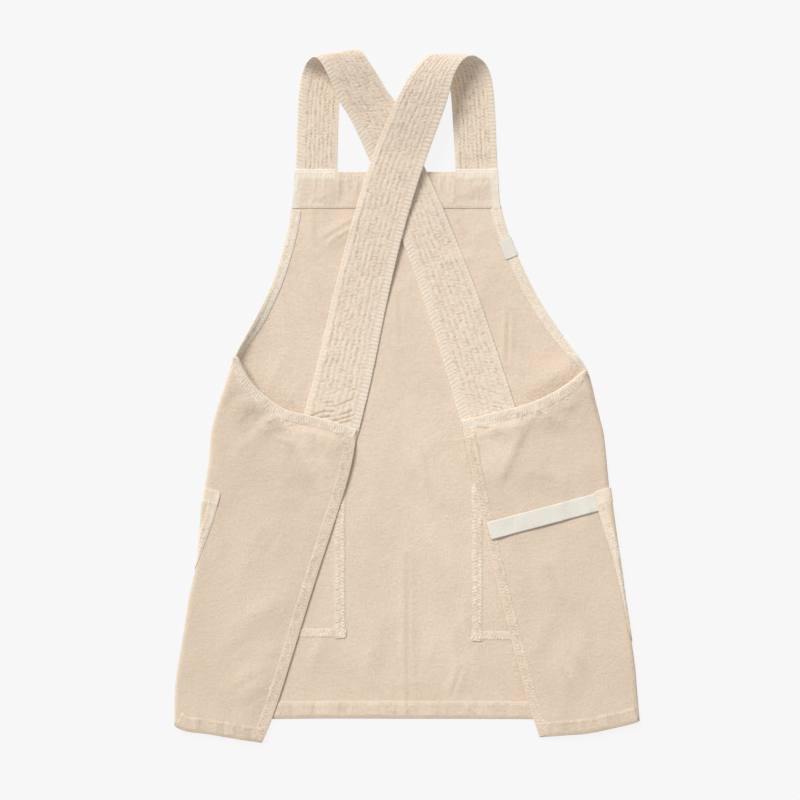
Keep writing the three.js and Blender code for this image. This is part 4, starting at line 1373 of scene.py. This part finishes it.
SUN_SHARE = 0.55
SUN_SOFTNESS = math.radians(25)
SUN_TILT = math.radians(52)
SUN_TURN = math.radians(32 + 180)
world = bpy.data.worlds.new("room")
scene.world = world
world.use_nodes = True
room = world.node_tree.nodes["Background"]
room.inputs["Color"].default_value = (1, 1, 1, 1)
room.inputs["Strength"].default_value = 1 - SUN_SHARE
sun_data = bpy.data.lights.new("window", "SUN")
sun_data.angle = SUN_SOFTNESS
sun_data.energy = SUN_SHARE * math.pi / math.cos(SUN_TILT)
sun = bpy.data.objects.new("window", sun_data)
scene.collection.objects.link(sun)
sun.rotation_euler = (SUN_TILT, 0, SUN_TURN)

CAMERA_HEIGHT = 3.0
CAMERA_MIDDLE = (-8.7, -6.5)
PICTURE_PIXELS = 800
PIXEL = 1.45 * MM
FRAME_WIDTH = PICTURE_PIXELS * PIXEL
SENSOR = 36
camera_data = bpy.data.cameras.new("camera")
camera_data.sensor_width = SENSOR
camera_data.lens = SENSOR * CAMERA_HEIGHT / FRAME_WIDTH
camera = bpy.data.objects.new("camera", camera_data)
camera.location = (CAMERA_MIDDLE[0] * MM, (CAMERA_MIDDLE[1] + DRIFT) * MM, CAMERA_HEIGHT)
scene.collection.objects.link(camera)
scene.camera = camera
scene.view_settings.view_transform = "Standard"
print("camera lens:", round(camera_data.lens, 1), "mm")

# %% [markdown]
# Last, each piece takes its finish and is hung under the frame's root, and the solid that it stands for,
# where there is one, is hidden.

# %% Hand the pieces to the frame
def dress(piece, material, nodes=()):
    piece.data.materials.clear()
    piece.data.materials.append(material)
    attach(piece, "root")
    if nodes:
        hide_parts(*nodes)


dress(body, canvas, ["body"])
for side in SIDES:
    dress(pockets[side], canvas, [f"pocket_{side}"])
    dress(straps[side], quilted, [f"strap_{side}"])
for node, piece in trims.items():
    dress(piece, seam_canvas, [node])
for piece in seams.values():
    dress(piece, seam_canvas)
for piece in (trim_stitches, strap_stitches):
    dress(piece, thread)
dress(tape, grey_tape, ["tape_loop"])
dress(tab, grey_tape, ["edge_tab"])

# %% Count the cloth sheets
for side in SIDES:
    [strap_stitches] if side == "left" else []
print("sheets:", 3 + len(trims) + len(straps) + len(pockets))
